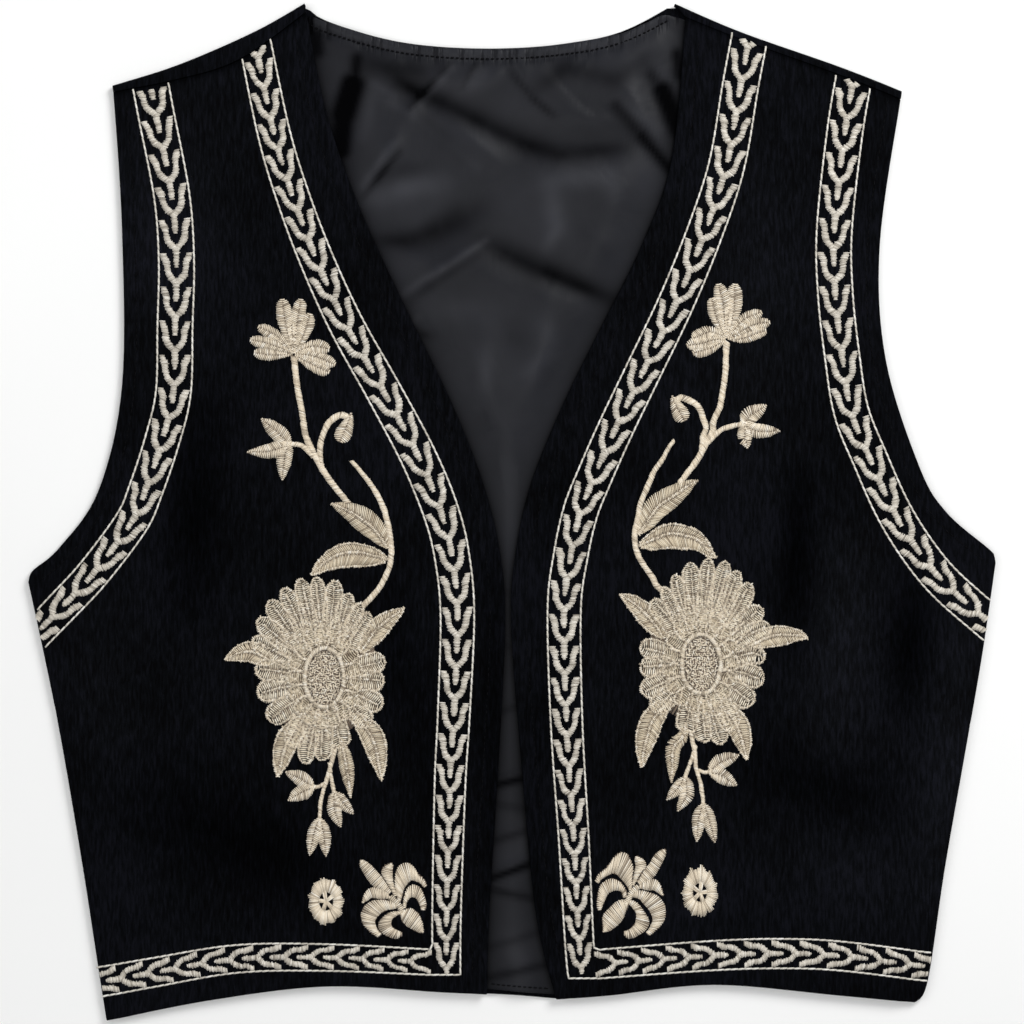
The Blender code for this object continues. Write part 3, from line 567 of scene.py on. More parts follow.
def buildFront(side):
    middle = spaced(*frontMesh["middleColumns"], frontMesh["step"] / frontMesh["width"])
    columns = np.concatenate([frontMesh["outerColumns"], middle, frontMesh["innerColumns"]])
    if side == "left":
        columns = 1.0 - columns[::-1]

    def place(column, row, u, v):
        spots = frontSpots(side, u if side == "right" else 1.0 - u, v)
        return np.column_stack([spots, frontTop(side, spots)])

    piece = gridSheet(f"{side}Front", columns, sheetRows(frontMesh["step"]), place, crinkle)
    # painted light and shade, read by the cloth's material
    keepValues(piece, "paintedFoldLight", lambda spots: clothPaintedLight(side, spots))
    giveWall(piece, cloth["frontWall"] - 0.2, -1.0)
    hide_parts(f"front_{side}")
    return piece


# Back, turned over the shoulders

backMesh = {"shoulderCells": 26, "neckCells": 44, "rowStep": 6.0, "wrapSteps": 8, "hemSplit": (0.46, 0.54)}


def buildBack():
    shoulder, neck, steps = backMesh["shoulderCells"], backMesh["neckCells"], backMesh["wrapSteps"]
    neckEnd = shoulder + neck
    count = neckEnd + shoulder
    columns = np.arange(count + 1) / count
    flatRows = sheetRows(backMesh["rowStep"])
    last = len(flatRows) - 1
    rows = np.concatenate([flatRows, np.ones(steps + 1)])
    top = joined([(shoulder / count, lines["shoulderFold"]["right"]), (neckEnd / count, neckLine),
                  (1.0, lines["shoulderFold"]["left"])])
    hem = joined([(backMesh["hemSplit"][0], lines["hem"]["right"]), (backMesh["hemSplit"][1], hemMiddleLine),
                  (1.0, lines["hem"]["left"])])

    def place(column, row, u, v):
        spots = patch(u, v, outerEdge("right", False), outerEdge("left", False), hem, top)
        heights = np.zeros(len(spots))
        for side in sides:
            if side == "right":
                turned = (row >= last) & (column <= shoulder)
                shares = column[turned] / shoulder
            else:
                turned = (row >= last) & (column >= neckEnd)
                shares = (column[turned] - neckEnd) / shoulder
            fold = along(lines["shoulderFold"][side], shares)
            seam = along(lines["shoulderSeam"][side], shares)
            forward = seam - fold
            forward /= np.linalg.norm(forward, axis=1, keepdims=True)
            radius = np.maximum(cloth["wrapTopLeast"], frontTop(side, seam)) / 2.0
            angle = math.pi * np.minimum(1.0, (row[turned] - last) / steps)
            reach = radius * (1.0 - np.sin(angle))
            end = row[turned] > last + steps
            reach[end] = np.linalg.norm(seam - fold, axis=1)[end] - cloth["seamGap"]
            spots[turned] = fold + forward * reach[:, None]
            heights[turned] = radius * (1.0 - np.cos(angle))
        return np.column_stack([spots, heights])

    def drop(column, row):
        return row >= last and shoulder <= column < neckEnd

    piece = gridSheet("backPanel", columns, rows, place, crinkle, drop)
    giveWall(piece, cloth["backWall"], 1.0)
    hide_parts("back")
    return piece


# Back lining

liningFolds = [   # x1, y1, x2, y2, half width, rise, crispness
    (-46, 201, 6, 177, 9, -2.4, 0.1), (6, 177, 54, 174, 9, -2.2, 0.1), (-67, 131, -40, 129, 7, -1.7, 0.1),
    (-40, 129, -18, 146, 8, -1.8, 0.1), (-12, 130, 22, 113, 8, -2.2, 0.2),
    (22, 113, 47, 102, 7, -2.0, 0.2), (-75, 217, -80, 168, 8, -3.4, 0.0), (64, 214, 80, 178, 7, -3.0, 0.0),
    (-92, 222, -95, 232, 5, -2.8, 0.0), (43, 194, 73, 168, 6, -1.7, 0.3),
    (-62, 172, -42, 158, 12, 1.4, 0.0), (10, 158, 46, 152, 14, 1.3, 0.0),
    (-14, 129, -52, 104, 4, 1.6, 0.5), (-15, 88, -10, 44, 7, 1.6, 0.1), (17, 100, 11, 62, 7, 1.3, 0.1),
    (-55, 177, -74, 150, 3.0, 1.1, 0.6), (-32, 213, -50, 192, 2.2, 0.9, 0.6),
    (-48, 194, -68, 160, 5, 0.9, 0.3), (-17, 216, -26, 204, 1.8, 0.7, 0.6),
    (-4, 215, -10, 206, 1.8, 0.6, 0.6), (18, 214, 40, 190, 3.0, -0.9, 0.5),
    (-52, 208, -60, 196, 2.2, 0.6, 0.6), (36, 216, 30, 206, 2.0, 0.5, 0.5),
    (50, 206, 66, 190, 4.0, 0.9, 0.3), (-30, 190, -8, 168, 6, 1.2, 0.2), (30, 190, 60, 186, 6, 1.2, 0.2),
    (-42, 96, -34, 84, 3.0, 0.9, 0.5), (-26, 120, 4, 104, 8, 0.9, 0.2), (32, 134, 52, 122, 7, 1.0, 0.2),
    (-34, 70, -22, 52, 4, 0.8, 0.4), (-6, 24, -2, 2, 2.6, 1.1, 0.5), (3, 20, 4, 0, 2.2, 0.9, 0.5),
    (14, 40, 8, 14, 3.2, 0.8, 0.3),
]
gapPuckers = [   # y, tilt, rise: small folds across the lining where it shows between the fronts
    (-36, 3, 0.3), (-62, -2, 0.3), (-92, 4, 0.4), (-127, 3, 1.0), (-139, -2, 0.35), (-153, 4, 0.5),
    (-170, 5, 1.0), (-181, -3, 0.6), (-203, 4, 0.35), (-218, 3, 0.6),
]
liningShape = {"puff": 3.8, "fade": 24.0, "neckStitchIn": 5.4, "neckPucker": 2.3, "hemStitchUp": 4.4,
               "seenColumns": 96, "hiddenColumns": 5, "step": 2.0, "lap": 12.0, "inset": 12.5,
               "neckHold": 16.0, "gatherRise": 0.22, "neckGroove": 0.7, "gapTilt": 14.0,
               "firstRow": 0.003, "grooveHalf": 0.9, "lipHalf": 2.0, "lipIn": 0.45,
               "gapHalf": 2.0, "gapReach": 9.0, "neckSheen": 0.35}


def insideFronts(spots):
    # how far spots lie from the right and from the left front's edge, over the opening between them
    return [(spots[:, 0] - crossAt(lines["frontEdge"][side], spots[:, 1])) * inward[side] for side in sides]


def gapFold(spots, aside, y, tilt, half):
    # 1 on a small fold across the lining between the fronts, 0 away from it
    off = (spots[:, 1] - y - aside * tilt / liningShape["gapTilt"]) / half
    return np.exp(-off ** 2) * (spots[:, 1] < 0.0)


def liningTop(spots):
    right, left = insideFronts(spots)
    fade = smoothStep(right / liningShape["fade"]) * smoothStep(left / liningShape["fade"])
    toNeck = gapTo(neckLine, spots)
    held = smoothStep(toNeck / liningShape["neckHold"]) * 0.75 + 0.25   # the neck edge holds it flatter
    puffed = np.maximum(0.0, (liningShape["puff"] + foldRise(liningFolds, spots))) * fade * held
    stitchIn = liningShape["neckStitchIn"]
    gather = np.cos(spots[:, 0] * math.tau / liningShape["neckPucker"] + 2.0 * np.sin(spots[:, 0] * 0.31))
    inBand = smoothStep(1.4 - np.abs(toNeck - stitchIn) / stitchIn)
    puffed += np.where(toNeck < stitchIn * 2.2, liningShape["gatherRise"] * gather * inBand, 0.0)
    puffed -= liningShape["neckGroove"] * np.exp(-((toNeck - stitchIn) / liningShape["grooveHalf"]) ** 2)
    lip = (toNeck - stitchIn * liningShape["lipIn"]) / liningShape["lipHalf"]
    puffed += liningShape["neckGroove"] * np.exp(-lip ** 2)
    aside = (right - left) / 2   # from the middle of the opening
    near = np.exp(-(aside / liningShape["gapReach"]) ** 2)
    for y, tilt, rise in gapPuckers:
        puffed += rise * near * gapFold(spots, aside, y, tilt, liningShape["gapHalf"])
    return liningUnderside + cloth["liningWall"] + puffed


liningShadePockets = [   # x1, y1, x2, y2, half width, darkness: painted shade in pockets beside the fronts that little light reaches
    (-74.4, 217.7, -75.6, 205.0, 2.4, 0.9), (-76.6, 205.0, -81.0, 191.0, 6.0, 1.0),
    (-81.0, 191.0, -82.5, 174.0, 5.0, 1.0), (-88.5, 180.0, -84.0, 166.0, 3.0, 0.9),
    (-94.4, 229.5, -93.2, 221.0, 2.6, 0.9), (79.2, 220.0, 80.6, 210.0, 2.8, 0.9),
    (66.8, 210.0, 73.0, 201.4, 2.2, 0.6), (72.4, 202.4, 80.0, 184.0, 4.8, 1.0),
    (50.0, 194.6, 62.0, 180.7, 2.8, 0.7), (62.0, 180.7, 75.5, 165.0, 2.9, 0.95),
]
paintedShadeShape = {"edgeFade": 5.0, "edge": 0.75, "lower": 0.1, "fold": 0.45, "foldLeast": 1.5, "foldMost": 3.4,
               "pitSoft": 2.7, "pucker": 0.9, "puckerHalf": 2.4, "puckerBelow": 2.6,
               "lowerFrom": 10.0, "lowerRun": 60.0}


def liningPaintedShade(spots):
    # painted shade: 1 where the lining drops away under the fronts' edges or into a deep fold and lies in
    # shade, 0 where it lies open; it is also painted darker under the small folds across the opening and
    # towards the opening's lower end
    right, left = insideFronts(spots)
    aside = (right - left) / 2
    edge = np.exp(-np.maximum(np.minimum(right, left), 0.0) / paintedShadeShape["edgeFade"])
    lower = smoothStep((paintedShadeShape["lowerFrom"] - spots[:, 1]) / paintedShadeShape["lowerRun"])
    troughs = [fold for fold in liningFolds if fold[5] < -paintedShadeShape["foldLeast"]]
    deep = np.clip(-foldRise(troughs, spots) / paintedShadeShape["foldMost"], 0.0, 1.0)
    soft = paintedShadeShape["pitSoft"]
    pocketShade = np.zeros(len(spots))
    for x1, y1, x2, y2, width, darkness in liningShadePockets:
        gap = gapTo(np.array([(x1, y1), (x2, y2)]), spots)
        pocketShade = np.maximum(pocketShade, darkness * smoothStep((width + soft - gap) / (2.0 * soft)))
    for y, tilt, rise in gapPuckers:
        fold = gapFold(spots, aside, y - paintedShadeShape["puckerBelow"], tilt, paintedShadeShape["puckerHalf"])
        pocketShade = np.maximum(pocketShade, paintedShadeShape["pucker"] * rise * fold)
    lit = (1.0 - edge * paintedShadeShape["edge"]) * (1.0 - lower * paintedShadeShape["lower"])
    return 1.0 - lit * (1.0 - deep * paintedShadeShape["fold"]) * (1.0 - np.clip(pocketShade, 0.0, 1.0))


liningPaintedPasses = [   # x1, y1, x2, y2, half width, amount: painted light and shade where the satin turns to the light or away from it
    (-52.7, 204.2, -35.5, 197.5, 4.5, -0.7), (-35.5, 197.5, -16.3, 187.9, 4.5, -0.7),
    (-16.3, 187.9, 6.8, 176.4, 4.5, -0.7), (6.8, 176.4, 22.1, 171.6, 5.0, -0.7),
    (22.1, 171.6, 54.8, 174.5, 4.0, -0.6), (-33.5, 187.9, -6.7, 172.5, 3.0, 0.2),
    (-64.3, 130.3, -48.9, 130.3, 4.0, -0.6), (-48.9, 130.3, -33.5, 136.1, 5.5, -0.6),
    (-33.5, 137.1, -20.1, 142.8, 7.0, -0.55), (-14.3, 129.0, -0.9, 122.5, 6.0, -0.5),
    (-0.9, 122.5, 18.3, 114.0, 5.5, -0.7), (18.3, 114.9, 47.2, 102.4, 4.4, -0.9),
    (-54.7, 103.4, -33.5, 116.9, 2.0, 0.5), (-33.5, 116.9, -12.4, 130.3, 1.9, 0.6),
    (-48.9, 101.5, -16.3, 122.6, 2.4, -0.35), (-71.9, 156.5, -56.6, 176.9, 1.9, 0.7),
    (-72.0, 150.5, -53.7, 172.5, 1.8, -0.7), (-71.9, 149.5, -52.7, 154.3, 5.5, 0.6),
    (-52.7, 155.3, -33.5, 157.2, 5.5, 0.6), (16.4, 159.1, 47.1, 161.0, 5.0, 0.7),
    (18.3, 155.3, 22.1, 136.1, 5.0, 0.6), (22.1, 136.1, 16.4, 126.5, 3.5, 0.5),
    (47.1, 160.0, 49.0, 150.4, 4.0, 0.4), (-66.2, 205.2, -71.9, 180.2, 3.5, 0.5),
    (-66.2, 205.2, -56.6, 199.4, 2.2, 0.5), (-71.9, 214.8, -39.3, 210.9, 5.0, -0.6),
    (-58.5, 209.0, -45.0, 201.3, 3.5, -0.4), (12.5, 203.3, 26.0, 212.9, 4.5, -0.5),
    (26.0, 212.9, 49.0, 207.1, 5.0, -0.5), (49.0, 207.1, 62.5, 214.8, 4.5, -0.4),
    (-39.3, 210.9, -31.6, 205.2, 2.8, 0.4), (-23.9, 203.3, -8.6, 210.9, 4.5, 0.6),
    (-48.9, 193.7, -29.7, 214.8, 1.8, -0.6), (-46.5, 193.2, -27.5, 213.8, 1.7, 0.4),
    (-23.9, 203.3, -16.3, 216.7, 1.8, -0.6), (-0.9, 210.9, 10.6, 197.5, 1.9, -0.5),
    (10.6, 197.5, 20.2, 189.8, 1.9, -0.6), (51.0, 195.6, 70.2, 184.1, 3.0, 0.4),
    (68.2, 216.7, 75.9, 203.3, 3.0, 0.3), (-41.2, 97.7, -12.4, 95.7, 6.0, 0.3),
    (14.5, 93.8, 18.3, 76.5, 5.0, 0.4), (18.3, 76.5, 6.8, 66.9, 4.0, 0.3),
    (-12.4, 76.5, -14.3, 51.6, 4.0, 0.5), (2.0, 88.0, 3.0, 77.0, 6.0, -0.25),
    (-53.7, 84.2, -45.1, 93.8, 2.0, 0.5), (-45.1, 86.1, -39.3, 84.2, 2.4, -0.5),
    (-64.3, 199.4, -47.0, 189.8, 2.2, 0.3), (-47.0, 189.8, -16.3, 164.9, 2.2, 0.3),
    (-43.1, 187.9, -22.0, 168.7, 3.0, -0.35), (-62.3, 161.0, -41.2, 164.9, 4.5, -0.35),
    (-2.0, 24.0, 2.0, -20.0, 4.0, 0.3), (3.0, -60.0, 5.0, -110.0, 3.0, 0.35),
    (4.0, -150.0, 5.0, -165.0, 3.0, 0.4), (-2.0, -205.0, 6.0, -222.0, 5.0, 0.3),
]


def liningPaintedLight(spots):
    # painted light: the neck band above its stitch line is painted lighter, as a painted sheen
    band = smoothStep((liningShape["neckStitchIn"] - gapTo(neckLine, spots)) / 2.0) * liningShape["neckSheen"]
    return np.clip(foldRise([(*row, 0.0) for row in liningPaintedPasses], spots) + band, -1.0, 1.0)


def buildLining():
    hidden, seen = liningShape["hiddenColumns"], liningShape["seenColumns"]
    seenEnd = hidden + seen
    count = seenEnd + hidden

    def width(side, v):
        run = joined([(1.0, lines["frontEdge"][side])])(v) - outerEdge(side, True)(v)
        return np.linalg.norm(run, axis=-1)

    def lapEdge(side):
        return lambda v: frontSpots(side, 1.0 - liningShape["lap"] / width(side, v), v)

    ends = np.array([0.0, 1.0])
    rightLap, leftLap = lapEdge("right")(ends), lapEdge("left")(ends)
    neck = smoothLine([rightLap[1], (-97.0, 237.6), (-88.6, 235.4), (-49.9, 224.9), (0.0, 222.6),
                       (47.1, 228.6), (64.0, 234.6), (75.0, 238.6), leftLap[1]])
    hem = smoothLine([rightLap[0], (-12.0, -230.8), (3.0, -231.6), (21.2, -233.2), leftLap[0]])

    def place(column, row, u, v):
        inner = (column - hidden) / seen
        spots = patch(np.clip(inner, 0.0, 1.0), v, lapEdge("right"), lapEdge("left"),
                      joined([(1.0, hem)]), joined([(1.0, neck)]))
        for side in sides:
            away = column < hidden if side == "right" else column > seenEnd
            steps = column[away] if side == "right" else count - column[away]
            wide = width(side, v[away])
            inset = liningShape["inset"] / wide
            far = inset + (1.0 - liningShape["lap"] / wide - inset) * steps / hidden
            spots[away] = frontSpots(side, far, v[away])
        return np.column_stack([spots, liningTop(spots)])

    rows = sheetRows(liningShape["step"], liningShape["firstRow"])
    piece = gridSheet("backLining", np.arange(count + 1) / count, rows, place, satin)
    # painted shade, read by the satin's material
    keepValues(piece, "paintedShade", liningPaintedShade)
    # painted light and shade, read by the satin's material
    keepValues(piece, "turn", liningPaintedLight)
    keepValues(piece, "neckGap", lambda spots: gapTo(neckLine, spots))
    giveWall(piece, cloth["shell"] - 0.1, -1.0)
    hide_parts("back_lining")
    return piece


fronts = {side: buildFront(side) for side in sides}
print("fronts laid")
back = buildBack()
lining = buildLining()
print("back and lining laid")


# Stitches: one strand is modelled, and a piece is its copies joined

strandShape = {"sides": 4, "shares": (0.0, 0.5, 1.0), "girth": (0.8, 1.0, 0.8), "lift": (0.0, 0.85, 0.0)}
strandTone = {"middle": 0.45, "spread": 0.16, "most": 0.85}


def strandMesh():
    bm = bmesh.new()
    bmesh.ops.create_cone(bm, cap_ends=True, cap_tris=False, segments=strandShape["sides"], radius1=0.5,
                          radius2=0.5, depth=1.0)
    longEdges = [edge for edge in bm.edges if abs(edge.verts[0].co.z - edge.verts[1].co.z) > 0.5]
    bmesh.ops.subdivide_edges(bm, edges=longEdges, cuts=1, use_grid_fill=True)
    bmesh.ops.recalc_face_normals(bm, faces=bm.faces)
    bm.verts.ensure_lookup_table()
    ring = np.array([round((vertex.co.z + 0.5) * 2) for vertex in bm.verts])
    cross = np.array([(vertex.co.x, vertex.co.y) for vertex in bm.verts])
    faces = [[vertex.index for vertex in face.verts] for face in bm.faces]
    bm.free()
    return ring, cross, np.array(faces)


strandRing, strandCross, strandFaces = strandMesh()


def stitchedPiece(name, side, rows, material, raised=0.0, thickness=0.5):
    # rows: x1, y1, x2, y2, width, lift
    rows = np.vstack(rows)
    shares, girth, lift = (np.array(strandShape[key])[strandRing] for key in ("shares", "girth", "lift"))
    start, end = rows[:, 0:2], rows[:, 2:4]
    run = end - start
    length = np.maximum(np.linalg.norm(run, axis=1, keepdims=True), 1e-6)
    sideways = leftOf(run / length)
    spots = (start[:, None] + run[:, None] * shares[None, :, None]
             + sideways[:, None] * (strandCross[:, 0] * girth)[None, :, None] * rows[:, 4][:, None, None])
    if side is None:
        base = liningTop(spots.reshape(-1, 2)).reshape(spots.shape[:2])
    else:
        base = onFront(side, spots)
    heights = (base + raised + rows[:, 5][:, None] * lift[None]
               + (strandCross[:, 1] * girth)[None] * thickness)
    points = np.concatenate([spots, heights[..., None]], axis=2).reshape(-1, 3) * mm
    count = len(rows)
    size = len(strandRing)
    loops = (strandFaces[None] + (np.arange(count) * size)[:, None, None]).ravel()
    mesh = bpy.data.meshes.new(name)
    mesh.vertices.add(count * size)
    mesh.vertices.foreach_set("co", points.ravel())
    mesh.loops.add(len(loops))
    mesh.loops.foreach_set("vertex_index", loops.astype(np.int32))
    mesh.polygons.add(len(loops) // 4)
    mesh.polygons.foreach_set("loop_start", np.arange(0, len(loops), 4, dtype=np.int32))
    mesh.update(calc_edges=True)
    tone = mesh.attributes.new("tone", "FLOAT", "POINT")
    each = np.clip(rng.normal(strandTone["middle"], strandTone["spread"], count), 0.0, strandTone["most"])
    tone.data.foreach_set("value", np.repeat(each, size).astype(np.float32))
    piece = newPiece(name, mesh, material)
    return piece


def unevenly(count, sets):
    # neighbouring stitches share part of their unevenness, as where a thread was pulled tighter
    raw = rng.normal(0.0, 1.0, (count + 4, sets))
    shared = (raw[:-4] + raw[1:-3] + raw[2:-2] + raw[3:-1] + raw[4:]) / math.sqrt(5.0)
    return shared * 0.8 + rng.normal(0.0, 0.6, (count, sets))


def stitchRows(start, end, width, lift):
    return np.column_stack([start, end, np.full(len(start), width), np.zeros(len(start)) + lift])


def stations(line, pitch, least=2):
    # evenly spaced places for stitches along a line
    count = max(least, int(round(lineLength(line) / pitch)))
    shares = (np.arange(count) + 0.5) / count
    return count, shares, along(line, shares), heading(line, shares)


def satinStroke(line, widths, pitch=0.46, slant=0.0, strand=0.62, lift=0.35, ragged=0.16, bead=0.0):
    # parallel stitches across a stroke; bead is how far its edges swell at each third stitch
    count, shares, spots, ahead = stations(line, pitch)
    wide = np.interp(shares, np.linspace(0, 1, len(widths)), widths)
    lean = leftOf(ahead) * math.cos(slant) + ahead * math.sin(slant)
    jitter = unevenly(count, 2) * ragged + bead * np.cos(np.arange(count) * math.tau / 3.0)[:, None]
    start = spots - lean * (wide[:, None] / 2 + jitter[:, :1])
    end = spots + lean * (wide[:, None] / 2 + jitter[:, 1:])
    return stitchRows(start, end, strand, lift + rng.normal(0, 0.05, count))


pointed = {"leaf": (0.82, 0.8), "bud": (0.72, 0.7)}   # two powers: where the widest place lies, how full
rounded = {"round": (0.62, 0.74), "strap": (0.25, 0.74)}   # where the full width starts and ends


def petalProfile(shares, kind):
    if kind in pointed:
        place, full = pointed[kind]
        return np.sin(math.pi * shares ** place) ** full
    start, tipStart = rounded[kind]
    grown = np.minimum(1.0, shares / start) ** 0.6
    tip = np.sqrt(1.0 - ((shares - tipStart) / (1.0 - tipStart)).clip(0.0, 1.0) ** 2)
    return grown * tip


def petalFill(line, halves, kind="round", pitch=0.84, lean=18.0, strand=0.74, lift=0.28, split=-0.4):
    # two rows of stitches, split along the middle vein; halves are the widths on its left and right
    length = lineLength(line)
    count, shares, spots, ahead = stations(line, pitch, 3)
    slope = math.tan(math.radians(lean))
    rows = []
    for hand, width in zip((1.0, -1.0), halves):
        half = width * petalProfile(shares, kind)
        reach = np.minimum(half * slope, (1.0 - shares) * length * 0.8)
        side = leftOf(ahead) * hand
        start = along(line, shares - reach / length * 0.5) + side * split
        end = spots + side * (half + unevenly(count, 1)[:, 0] * 0.14)[:, None]
        end += ahead * (reach * 0.5)[:, None]
        rows.append(stitchRows(start, end, strand, lift))
    return np.vstack(rows)


groundStitch = {"pitch": 1.15, "strand": 1.6, "lift": 0.05}   # laid first, and seen between those on top


def underlay(line, halves, kind):
    shares = np.linspace(0.0, 1.0, 15)
    profile = petalProfile(shares, kind)
    aside = leftOf(heading(line, shares)) * profile[:, None]
    centre = along(line, shares) + aside * (halves[0] - halves[1]) / 2
    return satinStroke(smoothLine(centre, 2), profile * (halves[0] + halves[1]) * 0.88, **groundStitch)


def bandFill(edgeA, edgeB, pitch=0.84, strand=0.8, lift=0.32):
    # stitches that run from one edge of a shape to the other
    count = max(3, int(round((lineLength(edgeA) + lineLength(edgeB)) / 2 / pitch)))
    shares = (np.arange(count) + 0.5) / count
    start, end = (along(edge, shares) + unevenly(count, 2) * 0.12 for edge in (edgeA, edgeB))
    return stitchRows(start, end, strand, lift)


def rope(line, width=1.1, lift=0.34):
    return satinStroke(line, [width, width], 0.82, slant=0.35, strand=0.78, lift=lift, ragged=0.2, bead=0.15)


def petalEdge(line, halves, kind, inset=0.0):
    shares = np.linspace(0.02, 0.985, 16)
    spots, aside = along(line, shares), leftOf(heading(line, shares)) * petalProfile(shares, kind)[:, None]
    left = spots + aside * (halves[0] - inset)
    right = spots - aside * (halves[1] - inset)
    return smoothLine(np.vstack([left, line[-1:], right[::-1]]), 3)


def needleHoles(line, offset=0.0, pitch=1.5, lift=0.5):
    # dark gaps where the needle went down between two stitches, a row along each side of a line
    count, shares, spots, ahead = stations(line, pitch)
    reach = leftOf(ahead) * 0.42 + ahead * 0.1
    rows = []
    for hand in ((1.0, -1.0) if offset else (1.0,)):
        middle = spots + leftOf(ahead) * hand * offset + rng.normal(0, 0.06, (count, 2))
        rows.append(stitchRows(middle - reach, middle + reach, 0.5, lift))
    return np.vstack(rows)


def guardStitch(line):
    # a rope of short stitches, each slanting a little across the line
    count, shares, spots, ahead = stations(line, guard["pitch"])
    half = (ahead + leftOf(ahead) * guard["slant"]) * guard["pitch"] * guard["overlap"] / 2
    return stitchRows(spots - half, spots + half, guard["width"], guard["lift"])


def runningStitch(line, width, dash, gap, lift=0.25, jitter=0.05):
    count = max(1, int(round(lineLength(line) / (dash + gap))))
    starts = np.arange(count) / count
    start, end = (along(line, shares) + rng.normal(0, jitter, (count, 2))
                  for shares in (starts, starts + dash / (dash + gap) / count))
    return stitchRows(start, end, width, lift)


# Borders of stitched forks between two guard lines

borders = {   # centre lines; the forks open towards the first point
    "rightArmhole": [(-174.0, 207.8), (-170.8, 190.8), (-163.2, 151.4), (-161.0, 120.2), (-161.7, 89.0),
                     (-162.5, 57.4), (-168.0, 33.8), (-176.0, 9.9), (-182.6, -5.0), (-200.4, -28.8),
                     (-215.1, -44.7), (-232.0, -62.0)],
    "rightFront": [(-124.0, 228.8), (-114.5, 182.6), (-105.2, 151.4), (-93.6, 120.6), (-79.4, 89.6),
                   (-61.6, 57.8), (-44.9, 26.4), (-34.0, -0.2), (-28.8, -21.4), (-26.2, -49.7),
                   (-28.0, -98.2), (-29.7, -129.4), (-31.4, -192.2), (-31.4, -223.4)],
    "rightHem": [(-39.6, -216.0), (-89.2, -213.8), (-132.0, -214.4), (-171.3, -220.8), (-205.0, -227.0)],
    "leftArmhole": [(164.6, 211.4), (159.7, 182.6), (154.6, 135.6), (155.1, 104.4), (158.4, 74.6),
                    (162.8, 48.0), (171.9, 25.2), (182.9, 0.7), (195.4, -19.4), (209.3, -35.8),
                    (232.0, -55.3)],
    "leftFront": [(114.8, 231.8), (109.7, 205.2), (103.2, 167.3), (93.2, 136.1), (79.2, 101.5),
                  (62.9, 67.4), (49.6, 39.8), (39.3, 16.4), (32.8, 0.0), (28.0, -21.8),
                  (25.0, -47.3), (26.2, -102.0), (29.6, -156.7), (32.2, -205.2), (33.8, -225.3)],
    "leftHem": [(42.2, -216.9), (94.1, -213.0), (129.2, -211.9), (160.4, -213.3), (207.0, -219.4)],
}
spacing = {   # first fork, pitches and half widths at the start, the middle and the end of each border
    "rightArmhole": {"first": -13.1, "pitch": (16.3, 16.3, 15.8), "half": (8.6, 8.4, 7.6), "topIn": 1.8},
    "rightFront": {"first": -2.6, "pitch": (14.9, 16.2, 13.6), "half": (7.5, 8.6, 6.6), "topIn": 0.4},
    "rightHem": {"first": -0.8, "pitch": (11.0, 13.3, 13.2), "half": (6.1, 6.6, 7.1), "topIn": 0.0},
    "leftArmhole": {"first": -6.1, "pitch": (15.3, 16.4, 16.2), "half": (8.6, 8.3, 8.4), "topIn": 0.8},
    "leftFront": {"first": -5.0, "pitch": (15.8, 16.1, 13.2), "half": (8.6, 8.4, 6.7), "topIn": -0.4},
    "leftHem": {"first": -2.4, "pitch": (11.0, 13.3, 14.1), "half": (6.9, 7.1, 6.8), "topIn": 0.0},
}
fork = {
    "pitch": 15.35,      # the shape below is drawn for this pitch and half width
    "half": 7.85,
    "arm": [(5.9, 0.0), (5.3, 2.0), (4.4, 4.2), (4.1, 7.4), (3.0, 10.4), (0.2, 13.4)],   # across, down
    "armWidths": [2.7, 3.4, 2.9, 3.0, 3.2, 2.8],
    "stem": [(0.0, 12.4), (0.0, 17.1), (0.0, 21.9)],
    "stemWidths": [3.0, 3.0, 2.9, 2.8, 1.7],
    "midway": 8.0,       # a fork takes its size from the place this far below its top
    "leastStroke": 2.0,  # a stroke that is cut shorter than this is left out
    "slant": 0.3,
    "bead": 0.16,
    "endRoom": {"Armhole": 2.0, "Front": 10.0, "Hem": 2.0},   # a front ends with a whole fork at its corner
}
guard = {"width": 1.0, "pitch": 3.4, "overlap": 1.04, "slant": 0.06, "lift": 0.22}


def offsetLine(line, distance):
    shares = np.linspace(0.0, 1.0, 90)
    if np.ndim(distance):
        distance = np.interp(shares, (0.0, 0.5, 1.0), distance)[:, None]
    return along(line, shares) + leftOf(heading(line, shares)) * distance


def onFabric(side, rows, topIn):
    # keeps the stitches that lie on the front, below its shoulder seam
    spots = (rows[:, 0:2] + rows[:, 2:4]) / 2
    outward = -inward[side]
    beside = spots[:, 1] < outline["sideSeam"][side][-1][1]   # below the underarm
    seamX = np.where(beside, crossAt(lines["sideSeam"][side], spots[:, 1]), outward * 999.0)
    shoulder = lines["shoulderSeam"][side]
    seamY = np.interp(spots[:, 0], shoulder[:, 0], shoulder[:, 1])
    return rows[((seamX - spots[:, 0]) * outward > 0.6) & (spots[:, 1] < seamY - topIn)]


def forkStroke(line, top, points, across, down):
    # a stroke of a fork, drawn across and down from its top, laid along the border's centre line
    length = lineLength(line)
    placed = np.array(points) * (across, down)
    shares = (top + placed[:, 1]) / length
    placed, shares = placed[shares <= 1.0], shares[shares <= 1.0]
    beyond = np.minimum(shares, 0.0)[:, None] * length
    spots = along(line, shares) + heading(line, [0.0])[0] * beyond
    return smoothLine(spots + leftOf(heading(line, np.maximum(shares, 0.0))) * placed[:, :1], 5)


